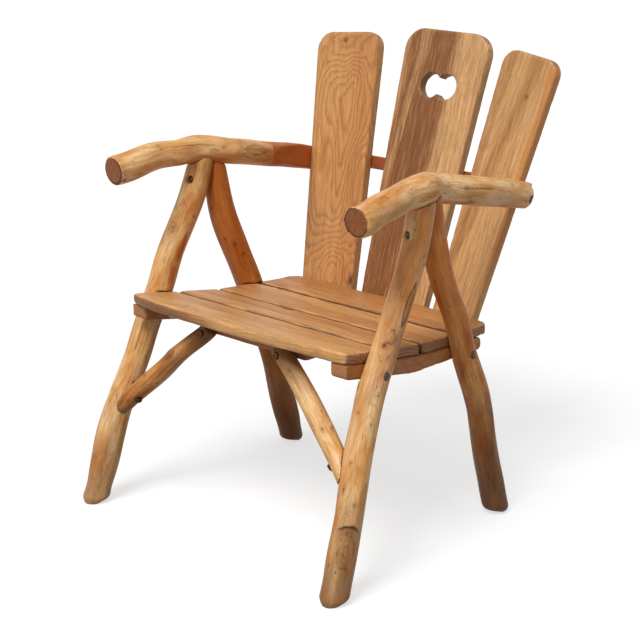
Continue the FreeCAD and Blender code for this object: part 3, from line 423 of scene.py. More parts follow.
def branchPiece(node, choice):
    piece = remeshedCopy(node, choice["name"], choice["voxel"])
    points, edges, normals = evenSkin(piece.data, 3)
    line = centreLine(points, choice["hint"])
    along, across, sideways, tangent, radial = followLine(points, line, choice["reference"])
    distance = np.maximum(np.hypot(across, sideways), 0.01)
    outward = radial / distance[:, None]
    angle = np.arctan2(sideways, across)
    # every seed lies in another part of the noise
    local = np.stack([across, sideways, along], 1) + choice["seed"] * 137.0
    bark = smoothStep(0.55, 0.9, (normals * outward).sum(1))
    facing = np.abs((normals * tangent).sum(1))
    toFront, toRear = along - along.min(), along.max() - along
    sawnEnd = smoothStep(0.62, 0.80, facing) * smoothStep(14, 7, np.minimum(toFront, toRear))

    def noise(acrossCell, alongCell, turn):
        return softNoise(local, acrossCell, alongCell, choice["seed"] + turn)

    def around(at):
        # how far ahead and aside every point lies from the point nearest to a place
        seat = np.argmin(((points - np.array(at)) ** 2).sum(1))
        return along - along[seat], np.angle(np.exp(1j * (angle - angle[seat]))) * distance

    # shallow knife facets and slow swelling
    lift = -choice["facetDepth"] * (1 - np.abs(noise(15, 85, 1))) ** 2
    lift += choice["swell"] * noise(30, 70, 2) + choice["ripple"] * noise(7, 22, 3)

    # ends eased with a rasp: the whole end draws in towards the branch's middle line
    easing = np.zeros(len(points))
    outside = smoothStep(-0.1, 0.7, outward[:, 0] * choice["rearSide"])
    for ease, gap, share in ((choice["footEase"], points[:, 2] / 1.3, 1), (choice["frontEase"], toFront, 1),
                             (choice["rearEase"], toRear, outside)):
        if ease:
            easing += ease * share * np.clip(1 - gap / ease, 0, 1) ** 2
    points = points - radial * np.clip(easing / choice["radius"], 0, 0.7)[:, None]

    knotShare, darkShare, ringLift, swirl = np.zeros((4, len(points)))
    dice = np.random.default_rng(choice["seed"])
    knots = list(choice["knots"])
    for _ in range(choice["smallKnots"]):
        at = points[dice.integers(len(points))]
        size = dice.uniform(2.5, 5.0)
        knots.append(dict(
            at=tuple(at), long=size * dice.uniform(1.0, 1.7), wide=size, lift=dice.uniform(0.1, 0.8),
            dip=dice.uniform(0.2, 0.8), tone=dice.uniform(0.3, 0.7), dark=dice.uniform(0.2, 0.8)))
    for knot in ({**branchKnot, **knot} for knot in knots):
        ahead, aside = around(knot["at"])
        reach = np.hypot(ahead / knot["long"], aside / knot["wide"])
        reach = reach + 0.16 * noise(5, 5, 9) * smoothStep(0.2, 0.8, reach)
        lift += knot["lift"] * np.exp(-1.3 * reach ** 2) - knot["dip"] * np.exp(-(reach / 0.38) ** 2)
        rings = 1 + knot["ringDepth"] * (np.cos(reach * knot["turns"] * 2 * math.pi) - 1)
        knotShare = np.maximum(knotShare, knot["tone"] * np.exp(-(reach / 1.1) ** 4) * rings)
        broken = smoothStep(-0.5, 0.2, noise(6, 9, 15))
        darkShare = np.maximum(darkShare, knot["dark"] * np.exp(-(reach / knot["core"]) ** 2))
        darkShare = np.maximum(darkShare, knot["outline"] * np.exp(-((reach - 0.95) / 0.11) ** 2) * broken)
        ringLift += knot["lift"] * knot["contours"] * np.exp(-0.5 * reach ** 2)
        swirl -= aside * 0.75 * np.exp(-0.45 * reach ** 2)
    for scar in ({**branchScar, **scar} for scar in choice["scars"]):
        ahead, aside = around(scar["at"])
        width = scar["wide"] * np.clip(1 - (ahead / scar["long"]) ** 2, 0, 1)
        beyond = np.abs(aside - scar["slant"] * ahead) - width
        lip = np.exp(-(beyond / scar["line"]) ** 2) * smoothStep(1.08, 0.92, np.abs(ahead) / scar["long"])
        inside = smoothStep(0.4, -0.4, beyond) * (np.abs(ahead) < scar["long"])
        lift -= scar["depth"] * (lip + 0.3 * inside)
        darkShare = np.maximum(darkShare, scar["dark"] * lip * (0.75 + 0.25 * noise(4, 9, 12)))
        knotShare = np.maximum(knotShare, scar["inner"] * inside)
    for ledge in choice["ledges"]:
        # a step where a limb was taken off: swollen above a ragged dark crescent of painted shadow under the
        # step, hollow below it
        ahead, aside = around(ledge["at"])
        ahead = ahead + ledge["sag"] * (aside / ledge["wide"]) ** 2 + 2.2 * noise(5, 5, 13)
        above, below = np.maximum(ahead, 0), np.minimum(ahead, 0)
        fade = np.exp(-(aside / ledge["wide"]) ** 4)
        lift += ledge["lift"] * fade * smoothStep(-3, 2, ahead) * np.exp(-(above / 16) ** 2)
        lift -= ledge["dip"] * fade * smoothStep(3, -3, ahead) * np.exp(-(below / 22) ** 2)
        # the dark crescent is painted shadow under the swollen step
        darkShare = np.maximum(darkShare, ledge["dark"] * fade * np.exp(-(ahead / 1.7) ** 2))
        hollow = fade * smoothStep(2, -4, ahead) * np.exp(-(below / 26) ** 2)
        knotShare = np.maximum(knotShare, ledge["tone"] * hollow)
    points = points + outward * (lift * bark)[:, None]
    # a sawn end is never quite true
    points = keepInside(points + tangent * (0.5 * noise(11, 40, 4) * sawnEnd)[:, None])
    writePoints(piece.data, points)

    height = points[:, 2]
    streaky = noise(9, 70, 5) + 0.6 * noise(24, 60, 14)
    # painted shade at the tops of the braces, where the seat shades them, beside dirt at the feet and in
    # clouds
    low, high, share = choice["topShade"]
    grime = np.max([choice["footGrime"] * smoothStep(choice["grimeTop"], 0, height + 60 * streaky),
                    choice["footGrime"] * smoothStep(7, 1, height),
                    share * smoothStep(low, high, height + 14 * streaky),
                    choice["grime"] * smoothStep(0.1, 0.8, noise(26, 90, 6))], axis=0)
    stainAndShade = choice["stainAndShade"] * smoothStep(-0.1, 0.7, noise(30, 130, 7))
    # bands of stain along the branch; on the left arm's rear end they hold painted shade as well
    for low, high, share, side in choice["stainAndShadeBands"]:
        seenSide = smoothStep(-0.5, 0.2, outward[:, 0] * side) if side else 1
        stainAndShade = np.maximum(stainAndShade, share * seenSide * smoothStep(low, high, along + 7 * noise(11, 16, 0)))
    for blot in choice["blots"]:
        ahead, aside = around(blot["at"])
        reach = np.hypot(ahead / blot["long"], aside / blot["wide"]) + 0.35 * noise(6, 60, 16)
        stainAndShade = np.maximum(stainAndShade, blot["share"] * smoothStep(1.1, 0.5, reach))
    ring = (lift * 1.5 + ringLift * 2.0 + 1.2 * noise(40, 160, 8)) * mm
    finishWood(piece, node, "branch_wood", choice,
               grain=((across - swirl * np.sin(angle)) * mm, (sideways + swirl * np.cos(angle)) * mm,
                      along * mm + choice["seed"] * 0.37),
               figure=(ring, np.clip(stainAndShade, 0, 1), np.clip(knotShare * bark, 0, 1)),
               wear=(np.clip(grime, 0, 1), np.clip(darkShare * bark, 0, 1), sawnEnd))


branchLook = {
    "pale": "#edc592", "honey": "#dfac6e", "amber": "#cc8b47", "patchAcross": 26, "patchAlong": 80,
    "streak": "#a3642f", "streakShare": 0.45, "streakAcross": 4.5, "streakAlong": 85,
    "ringWidth": 1.1, "ringShare": 0.30, "fibreLow": 0.80, "fibreHigh": 1.13,
    "crackShare": 0.75, "pinShare": 0.80,
    "stainAndShade": "#b35e26", "knot": "#7d4a25", "grime": "#76512f", "mark": "#2a180b",
    "endPale": "#bd7c46", "endBrown": "#8e5229", "endDark": "#5a2d15", "endRim": "#3a1d0e",
    "endRingWidth": 1.7, "endRingShare": 0.34, "endWobble": 2.2,
    "gloss": 0.42, "matt": 0.60, "shine": 0.28, "bump": 0.7,
}
# a darker copy of the branch wood: painted shade for the rear legs and the left brace, which stand in shade
paintedShadeLook = dict(branchLook, pale="#cf9458", honey="#bc7838", amber="#a55c22", streak="#6c3816",
                  stainAndShade="#c86f28", grime="#4a2c16")
branchWood = peeledBranch("peeledBranchOiled", branchLook)
paintedShadeWood = peeledBranch("peeledBranchOiledPaintedShade", paintedShadeLook)

# what a knot or a scar has when its piece says nothing else
branchKnot = {"dip": 0.0, "dark": 0.0, "core": 0.34, "ringDepth": 0.25, "turns": 2.5, "outline": 0.0,
              "contours": 0.3}
branchScar = {"slant": 0.0, "line": 1.5, "inner": 0.25}
# sizes are in mm and shares go from 0 to 1; the painted shade at the top is two heights and a share,
# the stain bands are from and to along the branch, a share and the side that shows it, on the left arm with
# painted shade too
branchBase = {
    "voxel": 2.0, "hint": (0, 0, 1), "reference": (1, 0, 0), "material": branchWood, "radius": 27.0,
    "facetDepth": 0.9, "swell": 0.8, "ripple": 0.18, "smallKnots": 7,
    "knots": (), "scars": (), "ledges": (), "blots": (), "stainAndShadeBands": (),
    "footGrime": 0.6, "grimeTop": 250, "grime": 0.15, "stainAndShade": 0.4, "topShade": (900, 1000, 0.0),
    "footEase": 12, "frontEase": 0, "rearEase": 0, "rearSide": 0,
}
armBase = dict(branchBase, hint=(0, 1, 0), footGrime=0.0, footEase=0, frontEase=5, grime=0.12)
# the brace tops under the seat get painted shade
braceBase = dict(branchBase, reference=(0, 1, 0), footGrime=0.0, footEase=0, grime=0.6, stainAndShade=0.8,
                 topShade=(320, 385, 0.8))
branchChoices = {
    "right_front_leg": dict(branchBase, name="rightFrontLegBranch", seed=11, footGrime=0.8, knots=(
        dict(at=(314.5, -193.1, 434.6), long=7, wide=6, lift=1.2, dip=1.6, tone=0.75, dark=1.0, core=0.5),
        dict(at=(319.9, -181.1, 449.4), long=13, wide=11, lift=1.6, tone=0.45, contours=1.0,
             ringDepth=0.5, turns=1.5, outline=0.7),
        dict(at=(327.6, -222.2, 353.2), long=6, wide=4.5, lift=0.8, dip=1.0, tone=0.4, dark=0.8),
        dict(at=(291.6, -232.9, 363.8), long=8, wide=5, lift=1.5, dip=0.6, tone=0.5, dark=0.8),
        dict(at=(306.9, -250.6, 325.1), long=6, wide=4, lift=0.5, dip=0.7, tone=0.4, dark=0.6),
        dict(at=(320.9, -284.1, 244.7), long=7, wide=3.5, lift=0.4, dip=0.9, tone=0.4, dark=0.9),
        dict(at=(345.0, -273.2, 205.6), long=5, wide=4, lift=0.9, dip=0.5, tone=0.4, dark=0.5),
        dict(at=(320.1, -302.3, 199.7), long=9, wide=4, lift=0.4, dip=0.8, tone=0.5, dark=0.8),
        dict(at=(352.0, -309.0, 139.0), long=5, wide=4, lift=0.6, dip=1.4, tone=0.7, dark=1.0, core=0.6),
        dict(at=(346.8, -322.9, 98.0), long=32, wide=16, lift=-0.8, tone=0.60, ringDepth=0.35,
             turns=3.0, outline=0.5),
        dict(at=(329.5, -241.8, 305.5), long=6, wide=2.5, lift=0.3, dip=0.5, tone=0.4, dark=0.8),
    ), scars=(
        dict(at=(325.6, -139.8, 500.0), long=42, wide=7.0, depth=2.2, dark=1.0, slant=0.03, inner=0.45),
    ), ledges=(
        dict(at=(345.7, -311.7, 141.0), wide=20, sag=9, lift=3.2, dip=1.8, dark=1.0, tone=0.75),
    ), blots=(
        dict(at=(300.0, -150.0, 470.0), long=70, wide=14, share=0.5),
    )),
    "left_front_leg": dict(branchBase, name="leftFrontLegBranch", seed=23, knots=(
        dict(at=(-290.4, -146.7, 539.7), long=11, wide=9, lift=1.6, dip=1.0, tone=0.50, dark=0.6, core=0.25,
             outline=0.4),
    ), scars=(
        dict(at=(-288.0, -244.1, 333.6), long=30, wide=1.2, depth=0.8, dark=0.7),
    ), blots=(
        dict(at=(-272.7, -141.2, 497.6), long=44, wide=13, share=0.95),
        dict(at=(-272.4, -166.9, 449.0), long=34, wide=10, share=0.8),
        dict(at=(-274.1, -113.0, 588.7), long=26, wide=12, share=0.5),
    )),
    "right_rear_leg": dict(branchBase, name="rightRearLegBranch", seed=37, material=paintedShadeWood, stainAndShade=0.6,
                           footGrime=0.85, grimeTop=430,
                           stainAndShadeBands=((330, 560, 0.45, 0),)),
    "left_rear_leg": dict(branchBase, name="leftRearLegBranch", seed=41, material=paintedShadeWood, stainAndShade=0.6,
                          footGrime=0.75, grimeTop=380, knots=(
        dict(at=(-270.7, -23.3, 497.9), long=5, wide=4, lift=0.8, dip=1.0, tone=0.5, dark=0.8),
    ), stainAndShadeBands=((330, 520, 0.6, 0),)),
    "left_arm": dict(armBase, name="leftArmBranch", seed=53, knots=(
        dict(at=(-242.0, 62.0, 672.0), long=14, wide=7, lift=0.6, tone=0.45, ringDepth=0.3),
        dict(at=(-292.8, -262.7, 650.6), long=5, wide=4.5, lift=0.8, dip=2.4, tone=0.8, dark=1.0, core=0.75),
        dict(at=(-254.7, -60.8, 688.9), long=12, wide=4, lift=0.4, dip=0.3, tone=0.5, dark=0.3),
        dict(at=(-288.0, -170.0, 700.0), long=5, wide=2, lift=0.2, dip=0.4, tone=0.5, dark=0.8),
    ), scars=(
        dict(at=(-240.0, 42.0, 676.5), long=31, wide=11, depth=0.5, dark=0.85, inner=0.22, line=1.0),
        dict(at=(-268.0, -100.0, 704.0), long=46, wide=1.0, depth=0.4, dark=0.6, line=0.8, slant=0.06),
    ), blots=(
        dict(at=(-238.0, 100.0, 655.0), long=30, wide=12, share=0.7),
        dict(at=(-262.0, -80.0, 668.0), long=60, wide=10, share=0.6),
    # the rear bands on the inner face are the wood's stain with painted shade over it
    ), stainAndShadeBands=((322, 372, 0.55, 1), (364, 372, 0.95, 1))),
    "right_arm": dict(armBase, name="rightArmBranch", seed=67, stainAndShade=0.25, rearEase=14, rearSide=1, knots=(
        dict(at=(295.3, 50.9, 674.4), long=9, wide=5, lift=0.6, dip=0.3, tone=0.55, dark=0.3),
        dict(at=(285.2, 73.6, 645.0), long=12, wide=5, lift=0.8, dip=0.6, tone=0.6, dark=0.7, outline=0.5),
    ), scars=(
        dict(at=(296.0, 90.0, 668.0), long=60, wide=1.0, depth=0.5, dark=0.6, line=0.9, slant=-0.04),
    ), blots=(
        dict(at=(284.0, 40.0, 642.0), long=70, wide=9, share=0.7),
    )),
    "left_brace": dict(braceBase, name="leftBraceBranch", seed=71, material=paintedShadeWood, stainAndShade=0.4, knots=(
        dict(at=(-209.7, -265.7, 265.1), long=6, wide=5, lift=1.2, dip=1.2, tone=0.5, dark=0.9),
        dict(at=(-180.0, -262.0, 330.0), long=15, wide=10, lift=3.0, tone=0.4, dark=0.3, outline=0.5),
    )),
    "right_brace": dict(braceBase, name="rightBraceBranch", seed=83, grime=0.25, stainAndShade=0.5, knots=(
        dict(at=(245.0, -275.0, 285.2), long=6, wide=4, lift=0.6, dip=1.0, tone=0.5, dark=0.8),
        dict(at=(252.8, -256.3, 296.0), long=9, wide=8, lift=3.0, tone=0.3, dark=0.2),
    )),
}
for node, choice in branchChoices.items():
    branchPiece(node, choice)


# Sawn boards and rails

def boardPiece(node, choice):
    piece = remeshedCopy(node, choice["name"], choice["voxel"])
    points, edges, normals = evenSkin(piece.data, 2)
    along = np.array(choice["along"], float)
    along /= np.linalg.norm(along)
    facing = np.array(choice["face"], float)
    facing -= along * (facing @ along)
    facing /= np.linalg.norm(facing)
    rest = points - (points.min(0) + points.max(0)) / 2
    x, y, z = rest @ np.cross(along, facing), rest @ facing, rest @ along
    local = np.stack([x, y, z], 1) + choice["seed"] * 211.0
    sawnEnd = smoothStep(0.55, 0.85, np.abs(normals @ along))

    def noise(acrossCell, alongCell, turn):
        return softNoise(local, acrossCell, alongCell, choice["seed"] + turn)

    # how sharply the skin turns, for worn edges
    turned = ((points - relaxed(points, edges, choice["edgeRounds"])) * normals).sum(1)
    edge = np.clip(turned / 0.8, 0, 1)
    lift = -choice["hollow"] * (0.5 + 0.5 * noise(45, 150, 1))
    lift -= edge * choice["edgeWear"] * (0.5 + 0.5 * noise(9, 26, 2))
    lift -= edge * choice["chips"] * smoothStep(0.45, 0.8, noise(7, 12, 3))

    # growth rings round the heart of the tree, which lies at pith and runs off at drift
    wave = choice["wave"] * (noise(55, 160, 4) + 0.35 * noise(22, 60, 5))
    dx = x - choice["pith"][0] - choice["drift"][0] * z + wave * 0.6
    dy = y - choice["pith"][1] - choice["drift"][1] * z
    ring = np.hypot(dx, dy * choice["squeeze"]) + wave
    knotShare, darkShare = np.zeros((2, len(points)))
    for knot in ({**boardKnot, **knot} for knot in choice["knots"]):
        dx, dz = x - knot["at"][0], z - knot["at"][1]
        reach = np.hypot(dz / knot["long"], dx / knot["wide"])
        bulge = reach * (1 + knot["star"] * np.cos(7 * np.arctan2(dx, dz)))
        bulge += 0.12 * softNoise(local, 26, 34, 8)
        ring += knot["push"] * np.exp(-0.5 * bulge ** 2)
        reach = reach + 0.2 * noise(6, 6, 6)
        front = smoothStep(-0.1, 0.3, normals @ facing)
        knotShare = np.maximum(knotShare, front * knot["tone"] * np.exp(-reach ** 4))
        darkShare = np.maximum(darkShare, front * knot["dark"] * np.exp(-(reach / 0.4) ** 2))
        lift -= front * knot["dip"] * np.exp(-(reach / 0.6) ** 2)

    # bands of heartwood, and on the front seat board a redder front face towards its left end, darkened there
    # with painted shade
    heart = np.full(len(points), float(choice["heartBase"]))
    bend = 9 * noise(60, 120, 7) + 4 * noise(6, 60, 8)
    for left, right, soft, slope, share in choice["heart"]:
        band = softBand(left, right, soft, x + bend - slope * z)
        heart = np.maximum(heart, share * band) if share > 0 else heart * (1 + share * band)
    redderFrontAndShade = smoothStep(0.4, 0.9, -normals[:, 1]) * smoothStep(40, -140, z + 40 * softNoise(local, 60, 60, 3))
    redderFrontAndShade *= choice["frontHeartAndShade"]
    # worn edges have lost their oil and look pale
    faded = choice["edgeFade"] * edge * smoothStep(-0.6, 0.4, noise(14, 40, 11))
    heart = np.maximum(heart, redderFrontAndShade) * (1 - faded)
    points = keepInside(points + normals * lift[:, None])
    writePoints(piece.data, points)

    # dirt in clouds, darkening along the edges and on the upper front edges, painted shade on the front seat
    # board's front face, and painted shade on the faces between two boards
    upperFront = smoothStep(0.2, 0.6, x / np.abs(x).max())
    upperFront *= smoothStep(0.1, 0.5, normals[:, 2] - normals[:, 1])
    grime = np.max([choice["grime"] * smoothStep(0.0, 0.9, noise(50, 120, 9)),
                    choice["edgeDarkening"] * edge * smoothStep(-0.5, 0.5, noise(12, 30, 10)),
                    choice["frontEdgeDarkening"] * edge * upperFront * smoothStep(-0.5, 0.3, noise(10, 34, 12)),
                    0.6 * redderFrontAndShade], axis=0)
    for left, right, soft, slope, share in choice["oiled"]:
        grime = np.maximum(grime, share * softBand(left, right, soft, x + bend * 0.5 - slope * z))
    # painted shade on the faces that look into the gaps between seat boards
    for direction, share in choice["gapShade"]:
        grime = np.maximum(grime, share * smoothStep(0.45, 0.9, normals @ np.array(direction, float)))
    finishWood(piece, node, "sawn_wood", choice, grain=(x * mm + choice["seed"] * 0.29, y * mm, z * mm),
               figure=(ring * mm, np.clip(heart, 0, 1), np.clip(knotShare, 0, 1)),
               wear=(np.clip(grime, 0, 1), np.clip(darkShare, 0, 1), sawnEnd))


seatLook = {
    "sapPale": "#dfab70", "sapDark": "#ba7b42", "heartPale": "#b67a42", "heartDark": "#8f562a",
    "mottle": 1.2, "mottleAcross": 7, "mottleAlong": 150, "shiver": 0.5,
    "ringWidth": 6.5, "ringShare": 0.42,
    "streakAcross": 9, "streakAlong": 190, "streakLow": 0.84, "streakHigh": 1.10,
    "fleckLow": 0.84, "fleckHigh": 1.11, "fleckBend": 0.3,
    "vein": "#84491f", "veinAcross": 13, "veinAlong": 240, "veinShare": 0.45,
    "pore": "#683c1c", "poreShare": 0.50, "knot": "#6e3d1c", "grime": "#5c361c", "mark": "#27150a",
    "endPale": "#9c6a48", "endDark": "#5d3820", "gloss": 0.40, "matt": 0.58, "shine": 0.30, "bump": 0.5,
}
leftBackLook = dict(seatLook, sapPale="#cf965d", sapDark="#8c5023", heartPale="#be8048", heartDark="#83471c",
                    ringWidth=8.0, ringShare=0.50, shiver=0.8, veinAcross=17, veinAlong=150, veinShare=0.25,
                    fleckLow=0.90, fleckHigh=1.07)
centreBackLook = dict(seatLook, sapPale="#d2a36f", sapDark="#b5804a", heartPale="#8a5630",
                      heartDark="#643619", mottle=2.2, mottleAcross=4, mottleAlong=60, ringWidth=5.0,
                      ringShare=0.40, streakLow=0.80, streakHigh=1.14, veinShare=0.3, fleckLow=0.74,
                      fleckHigh=1.20)
rightBackLook = dict(seatLook, sapPale="#d0a06b", sapDark="#b07b44", heartPale="#a06b39", heartDark="#7b4a24",
                     grime="#b5702f", mottle=1.5, mottleAcross=6, mottleAlong=110, ringWidth=7.0,
                     veinAcross=9, veinShare=0.35)
railLook = dict(seatLook, sapPale="#b0703c", sapDark="#8c4f24", heartPale="#a2622f", heartDark="#7c441d",
                ringWidth=4.5, endPale="#bd8558", endDark="#8d5832")
stainedRailLook = dict(seatLook, sapPale="#9a5029", sapDark="#7a3a1a", heartPale="#8c4720",
                       heartDark="#6e3215", ringWidth=4.5)

seatWood = sawnTeak("sawnTeakSeat", seatLook)
leftBackWood = sawnTeak("sawnTeakFlatGrain", leftBackLook)
centreBackWood = sawnTeak("sawnTeakHeartAndSap", centreBackLook)
rightBackWood = sawnTeak("sawnTeakPale", rightBackLook)
railWood = sawnTeak("sawnTeakRail", railLook)
stainedRailWood = sawnTeak("sawnTeakStained", stainedRailLook)

backLean = math.radians(17.4)


def backAlong(fan):
    # up the leaning plane of the back, turned to one side by the board's fan angle
    return (math.tan(math.radians(fan)), math.sin(backLean), math.cos(backLean))


backFace = (0.0, -math.cos(backLean), math.sin(backLean))
# what a knot has when its board says nothing else; heart and oiled bands are left, right, softness,
# slope and share, and a share below 0 makes a band paler
boardKnot = {"push": 0.0, "star": 0.0, "tone": 0.0, "dark": 0.0, "dip": 0.0}
boardBase = {
    "voxel": 2.0, "along": (1, 0, 0), "face": (0, 0, 1), "material": seatWood,
    "hollow": 0.25, "edgeRounds": 6, "edgeWear": 0.8, "chips": 0.8, "frontEdgeDarkening": 0.0,
    "pith": (20, -90), "drift": (0.05, 0.02), "wave": 5.0, "squeeze": 1.0, "knots": (),
    "heartBase": 0.0, "heart": (), "frontHeartAndShade": 0.0, "edgeFade": 0.0,
    "grime": 0.12, "edgeDarkening": 0.3, "gapShade": (), "oiled": (),
}
seatBase = dict(boardBase, edgeRounds=10, edgeWear=2.6, chips=2.8, frontEdgeDarkening=0.9, edgeFade=0.9, edgeDarkening=0.15,
                heartBase=0.25)
# painted shade on the front and rear faces that look into the gaps between seat boards
bothGapShades = (((0, -1, 0), 0.95), ((0, 1, 0), 0.95))
boardChoices = {
    "seat_board_1": dict(seatBase, name="seatBoardFront", seed=3, edgeWear=3.0, frontEdgeDarkening=0.3, pith=(30, -60),
                         gapShade=bothGapShades[1:], frontHeartAndShade=1.0, heart=((-60, 5, 14, 0.04, 0.6),), knots=(
        dict(at=(56, 262), long=16, wide=10, push=6, tone=0.5, dark=0.3, dip=0.6),
        dict(at=(30, -150), long=26, wide=9, push=9, tone=0.25, dark=0.1, dip=0.2),)),
    "seat_board_2": dict(seatBase, name="seatBoardSecond", seed=5, pith=(-10, -110), gapShade=bothGapShades,
                         heartBase=0.45, heart=((-50, 10, 12, -0.03, 0.8),), knots=(
        dict(at=(-46, -60), long=20, wide=9, push=8, tone=0.6, dark=0.9, dip=2.2),
        dict(at=(40, 69), long=16, wide=5, push=3, tone=0.5, dark=0.7, dip=1.6),)),
    "seat_board_3": dict(seatBase, name="seatBoardThird", seed=7, pith=(-40, -70), drift=(-0.08, 0.03),
                         gapShade=bothGapShades, heartBase=0.5, heart=((-10, 60, 16, 0.05, 0.8),)),
    "seat_board_4": dict(seatBase, name="seatBoardRear", seed=9, pith=(20, -80), gapShade=bothGapShades[:1],
                         heartBase=0.75, heart=((-70, 0, 16, 0.0, 1.0),), knots=(
        dict(at=(40, -215), long=14, wide=7, push=5, tone=0.3, dark=0.4, dip=0.5),)),
    "left_back_board": dict(boardBase, name="leftBackBoardPlank", seed=13, material=leftBackWood,
                            along=backAlong(-9.06), face=backFace, pith=(5, -34), drift=(0.01, 0.075),
                            wave=13.0, grime=0.05, squeeze=1.4, edgeFade=0.5,
                            heart=((30, 90, 12, 0.0, 0.6),), knots=(
        dict(at=(4, 274), long=50, wide=36, push=64, star=0.05),
        dict(at=(14, -222), long=56, wide=44, push=58),
        dict(at=(-14, 10), long=70, wide=16, push=20),
        dict(at=(-2, 275), long=7, wide=9, push=2, tone=0.6, dark=0.8, dip=0.8),
        dict(at=(72, -240), long=16, wide=9, push=2, tone=0.6, dark=1.0, dip=3.0),)),
    "centre_back_board": dict(boardBase, name="centreBackBoardPlank", seed=17, material=centreBackWood,
                              along=backAlong(0.1), face=backFace, pith=(-110, -30), drift=(0.02, 0.01),
                              grime=0.05, edgeFade=0.6, edgeDarkening=0.2, heartBase=0.08,
                              heart=((-110, 10, 17, 0.065, 1.0), (-94, -72, 9, 0.1, -0.5))),
    "right_back_board": dict(boardBase, name="rightBackBoardPlank", seed=19, material=rightBackWood,
                             along=backAlong(6.2), face=backFace, pith=(-60, -55), drift=(0.05, 0.03),
                             wave=8.0, grime=0.05, edgeFade=0.5, edgeDarkening=0.2,
                             heart=((-46, -20, 17, 0.16, 0.75), (-95, -50, 10, 0.05, 0.4)),
                             oiled=((45, 90, 6, 0.0, 0.6),), knots=(
        dict(at=(10, 205), long=7, wide=6, push=3, tone=0.5, dark=0.7, dip=0.5),)),
    "left_side_rail": dict(boardBase, name="leftSideRailTimber", seed=29, material=railWood, along=(0, 1, 0),
                           face=(-1, 0, 0), pith=(0, -70), edgeDarkening=0.8, chips=1.6),
    "right_side_rail": dict(boardBase, name="rightSideRailTimber", seed=31, material=railWood, along=(0, 1, 0),
                            face=(1, 0, 0), pith=(0, -70), edgeDarkening=0.8, chips=1.6),
    "upper_back_rail": dict(boardBase, name="upperBackRailTimber", seed=43, material=stainedRailWood,
                            face=backFace, pith=(0, -60)),
    "lower_back_rail": dict(boardBase, name="lowerBackRailTimber", seed=47, material=railWood),
    "front_cleat": dict(boardBase, name="frontCleatTimber", seed=59, material=railWood, grime=0.6),
}
for node, choice in boardChoices.items():
    boardPiece(node, choice)


# Bolts, screws, washers and nuts keep their solids; the dowels are hidden in the arms

def zincPlatedSteel(name, look):
    # Bright zinc on steel that has dulled or rusted outdoors: the eye gets a soft metal with cloudy patches
    material, shader, add = newMaterial(name)
    tint = tints(look)
    place = add("TexCoord").outputs["Object"]
    cloud = add("TexNoise", {"Vector": place, "Scale": 1 / (look["cloud"] * mm), "Detail": 4})
    tone = add("ValToRGB", {0: cloud}, ramp=[(0.3, tint["dull"]), (0.7, tint["bright"])])
    rough = add("MapRange", {0: cloud, 1: 0.3, 2: 0.7, 3: look["matt"], 4: look["gloss"]})
    grit = add("TexNoise", {"Vector": place, "Scale": 1 / (0.6 * mm)})
    bump = add("Bump", {"Strength": 0.25, "Distance": 0.1 * mm, "Height": grit})
    setSockets(shader, {"Base Color": tone, "Roughness": rough, "Metallic": 1, "Normal": bump})
    return material


def turnedBeech(name, look):
    # Beech dowel, turned: pale pink-brown with short dark flecks along the rod
    material, shader, add = newMaterial(name)
    tint = tints(look)
    place = add("TexCoord").outputs["Object"]
    flecks = add("TexNoise", {"Vector": woodPlace(add, place, 0.8, 9), "Scale": 1})
    tone = add("ValToRGB", {0: flecks}, ramp=[(0.35, tint["pale"]), (0.75, tint["fleck"])])
    setSockets(shader, {"Base Color": tone, "Roughness": look["rough"]})
    return material


zinc = zincPlatedSteel("zincPlatedSteelDulled", {
    "cloud": 5, "dull": "#6c6a66", "bright": "#a3a19c", "matt": 0.55, "gloss": 0.32})
darkZinc = zincPlatedSteel("zincPlatedSteelWeathered", {
    "cloud": 4, "dull": "#2e2925", "bright": "#5c564e", "matt": 0.6, "gloss": 0.4})
# brown steel coloured like the wood in the seat's shade: painted shade on the brace top screws
paintedShadeSteel = zincPlatedSteel("steelBrownPaintedShade", {
    "cloud": 3, "dull": "#4e301b", "bright": "#7d5230", "matt": 0.85, "gloss": 0.65})
# dark brown steel for the brace foot screws
darkBrownSteel = zincPlatedSteel("steelDarkBrown", {
    "cloud": 3, "dull": "#2b1b12", "bright": "#54402f", "matt": 0.8, "gloss": 0.6})
beech = turnedBeech("turnedBeechDowel", {"pale": "#cfa77c", "fleck": "#a0744b", "rough": 0.6})
metalNodes = {
    "rail_bolts": darkZinc, "rail_washers": zinc, "rail_nuts": zinc, "leg_joint_bolts": darkZinc,
    "leg_joint_washers": zinc, "leg_joint_nuts": zinc, "arm_coach_screws": darkZinc,
    "brace_top_screws": paintedShadeSteel, "brace_foot_screws": darkBrownSteel, "seat_screws": zinc, "cleat_screws": zinc,
    "lower_rail_screws": zinc, "back_upper_screws": zinc, "back_lower_screws": zinc, "arm_dowels": beech,
}
for node, material in metalNodes.items():
    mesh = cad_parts[node].data
    mesh.materials.clear()
    mesh.materials.append(material)
print("fasteners finished")


# Floor, light and camera

studio = {
    "floorHalf": 14.0, "floorTone": "#a0a0a0", "lift": 0.66,
    "skyStrength": 0.43, "sunStrength": 2.75, "sunAngle": 26.0, "sunFrom": (0.14, -0.78, 1.18),
}


def placed(name, data):
    thing = bpy.data.objects.new(name, data)
    bpy.context.scene.collection.objects.link(thing)
    return thing


def raysThatSeeWhite(add):
    rays = add("LightPath").outputs
    return add("Math", {0: rays["Is Camera Ray"], 1: rays["Is Glossy Ray"]}, operation="MAXIMUM")


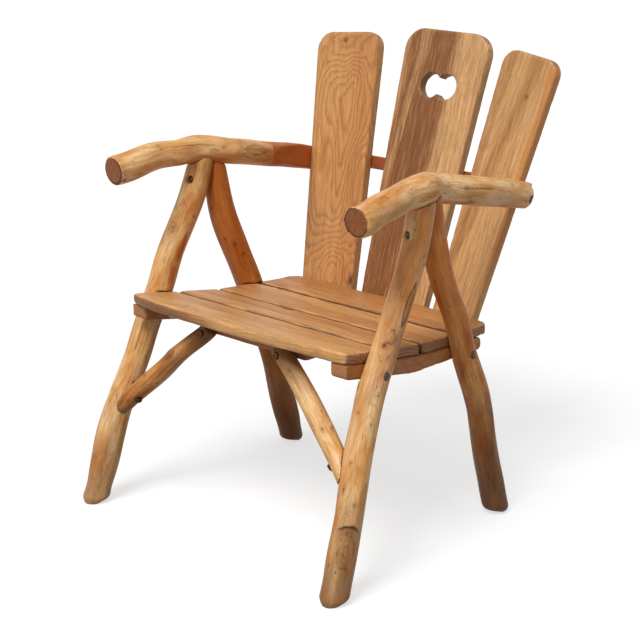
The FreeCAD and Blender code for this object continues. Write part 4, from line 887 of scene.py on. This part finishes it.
def paperFloor(name):
    # Matt studio paper: plain and pale, white to the camera apart from the soft shadow
    material, shader, add = newMaterial(name)
    place = add("TexCoord").outputs["Object"]
    tooth = add("TexNoise", {"Vector": place, "Scale": 1 / (3 * mm)})
    tone = add("MapRange", {0: tooth, 3: 0.97, 4: 1})
    paper = add("Mix", {0: 1, 6: linearColour(studio["floorTone"]), 7: tone}, data_type="RGBA",
                blend_type="MULTIPLY")
    setSockets(shader, {"Base Color": paper, "Roughness": 0.95, "Specular IOR Level": 0})
    glow = add("Math", {0: raysThatSeeWhite(add), 1: studio["lift"]}, operation="MULTIPLY")
    white = add("Emission", {"Color": (1, 1, 1, 1), "Strength": glow})
    both = add("AddShader", {0: shader, 1: white})
    setSockets(material.node_tree.nodes["Material Output"], {"Surface": both})
    return material


half = studio["floorHalf"]
floorMesh = bpy.data.meshes.new("studioFloor")
corners = [(-half, -half, 0), (half, -half, 0), (half, half, 0), (-half, half, 0)]
floorMesh.from_pydata(corners, [], [(0, 1, 2, 3)])
floorMesh.materials.append(paperFloor("mattStudioPaper"))
placed("studioFloor", floorMesh)

world = bpy.data.worlds.new("softStudio")
bpy.context.scene.world = world
world.use_nodes = True
add = functools.partial(addNode, world.node_tree)
strength = add("MapRange", {0: raysThatSeeWhite(add), 3: studio["skyStrength"], 4: 1})
setSockets(world.node_tree.nodes["Background"], {"Color": (1, 1, 1, 1), "Strength": strength})

sunData = bpy.data.lights.new("softKey", "SUN")
sunData.energy = studio["sunStrength"]
sunData.angle = math.radians(studio["sunAngle"])
sun = placed("softKey", sunData)
sun.rotation_euler = Vector(studio["sunFrom"]).to_track_quat("Z", "Y").to_euler()

view = {"target": (0.2070, -0.2415, 0.4700), "azimuth": 43.72, "elevation": 16.56, "distance": 2.760,
        "lens": 88.5, "sensor": 36.0}
azimuth, elevation = math.radians(view["azimuth"]), math.radians(view["elevation"])
back = Vector((math.sin(azimuth) * math.cos(elevation), -math.cos(azimuth) * math.cos(elevation),
               math.sin(elevation)))
lens = bpy.data.cameras.new("photoView")
lens.lens = view["lens"]
lens.sensor_width = view["sensor"]
camera = placed("photoView", lens)
camera.location = Vector(view["target"]) + back * view["distance"]
camera.rotation_euler = back.to_track_quat("Z", "Y").to_euler()
bpy.context.scene.camera = camera
bpy.context.scene.view_settings.view_transform = "Standard"
print("studio ready")
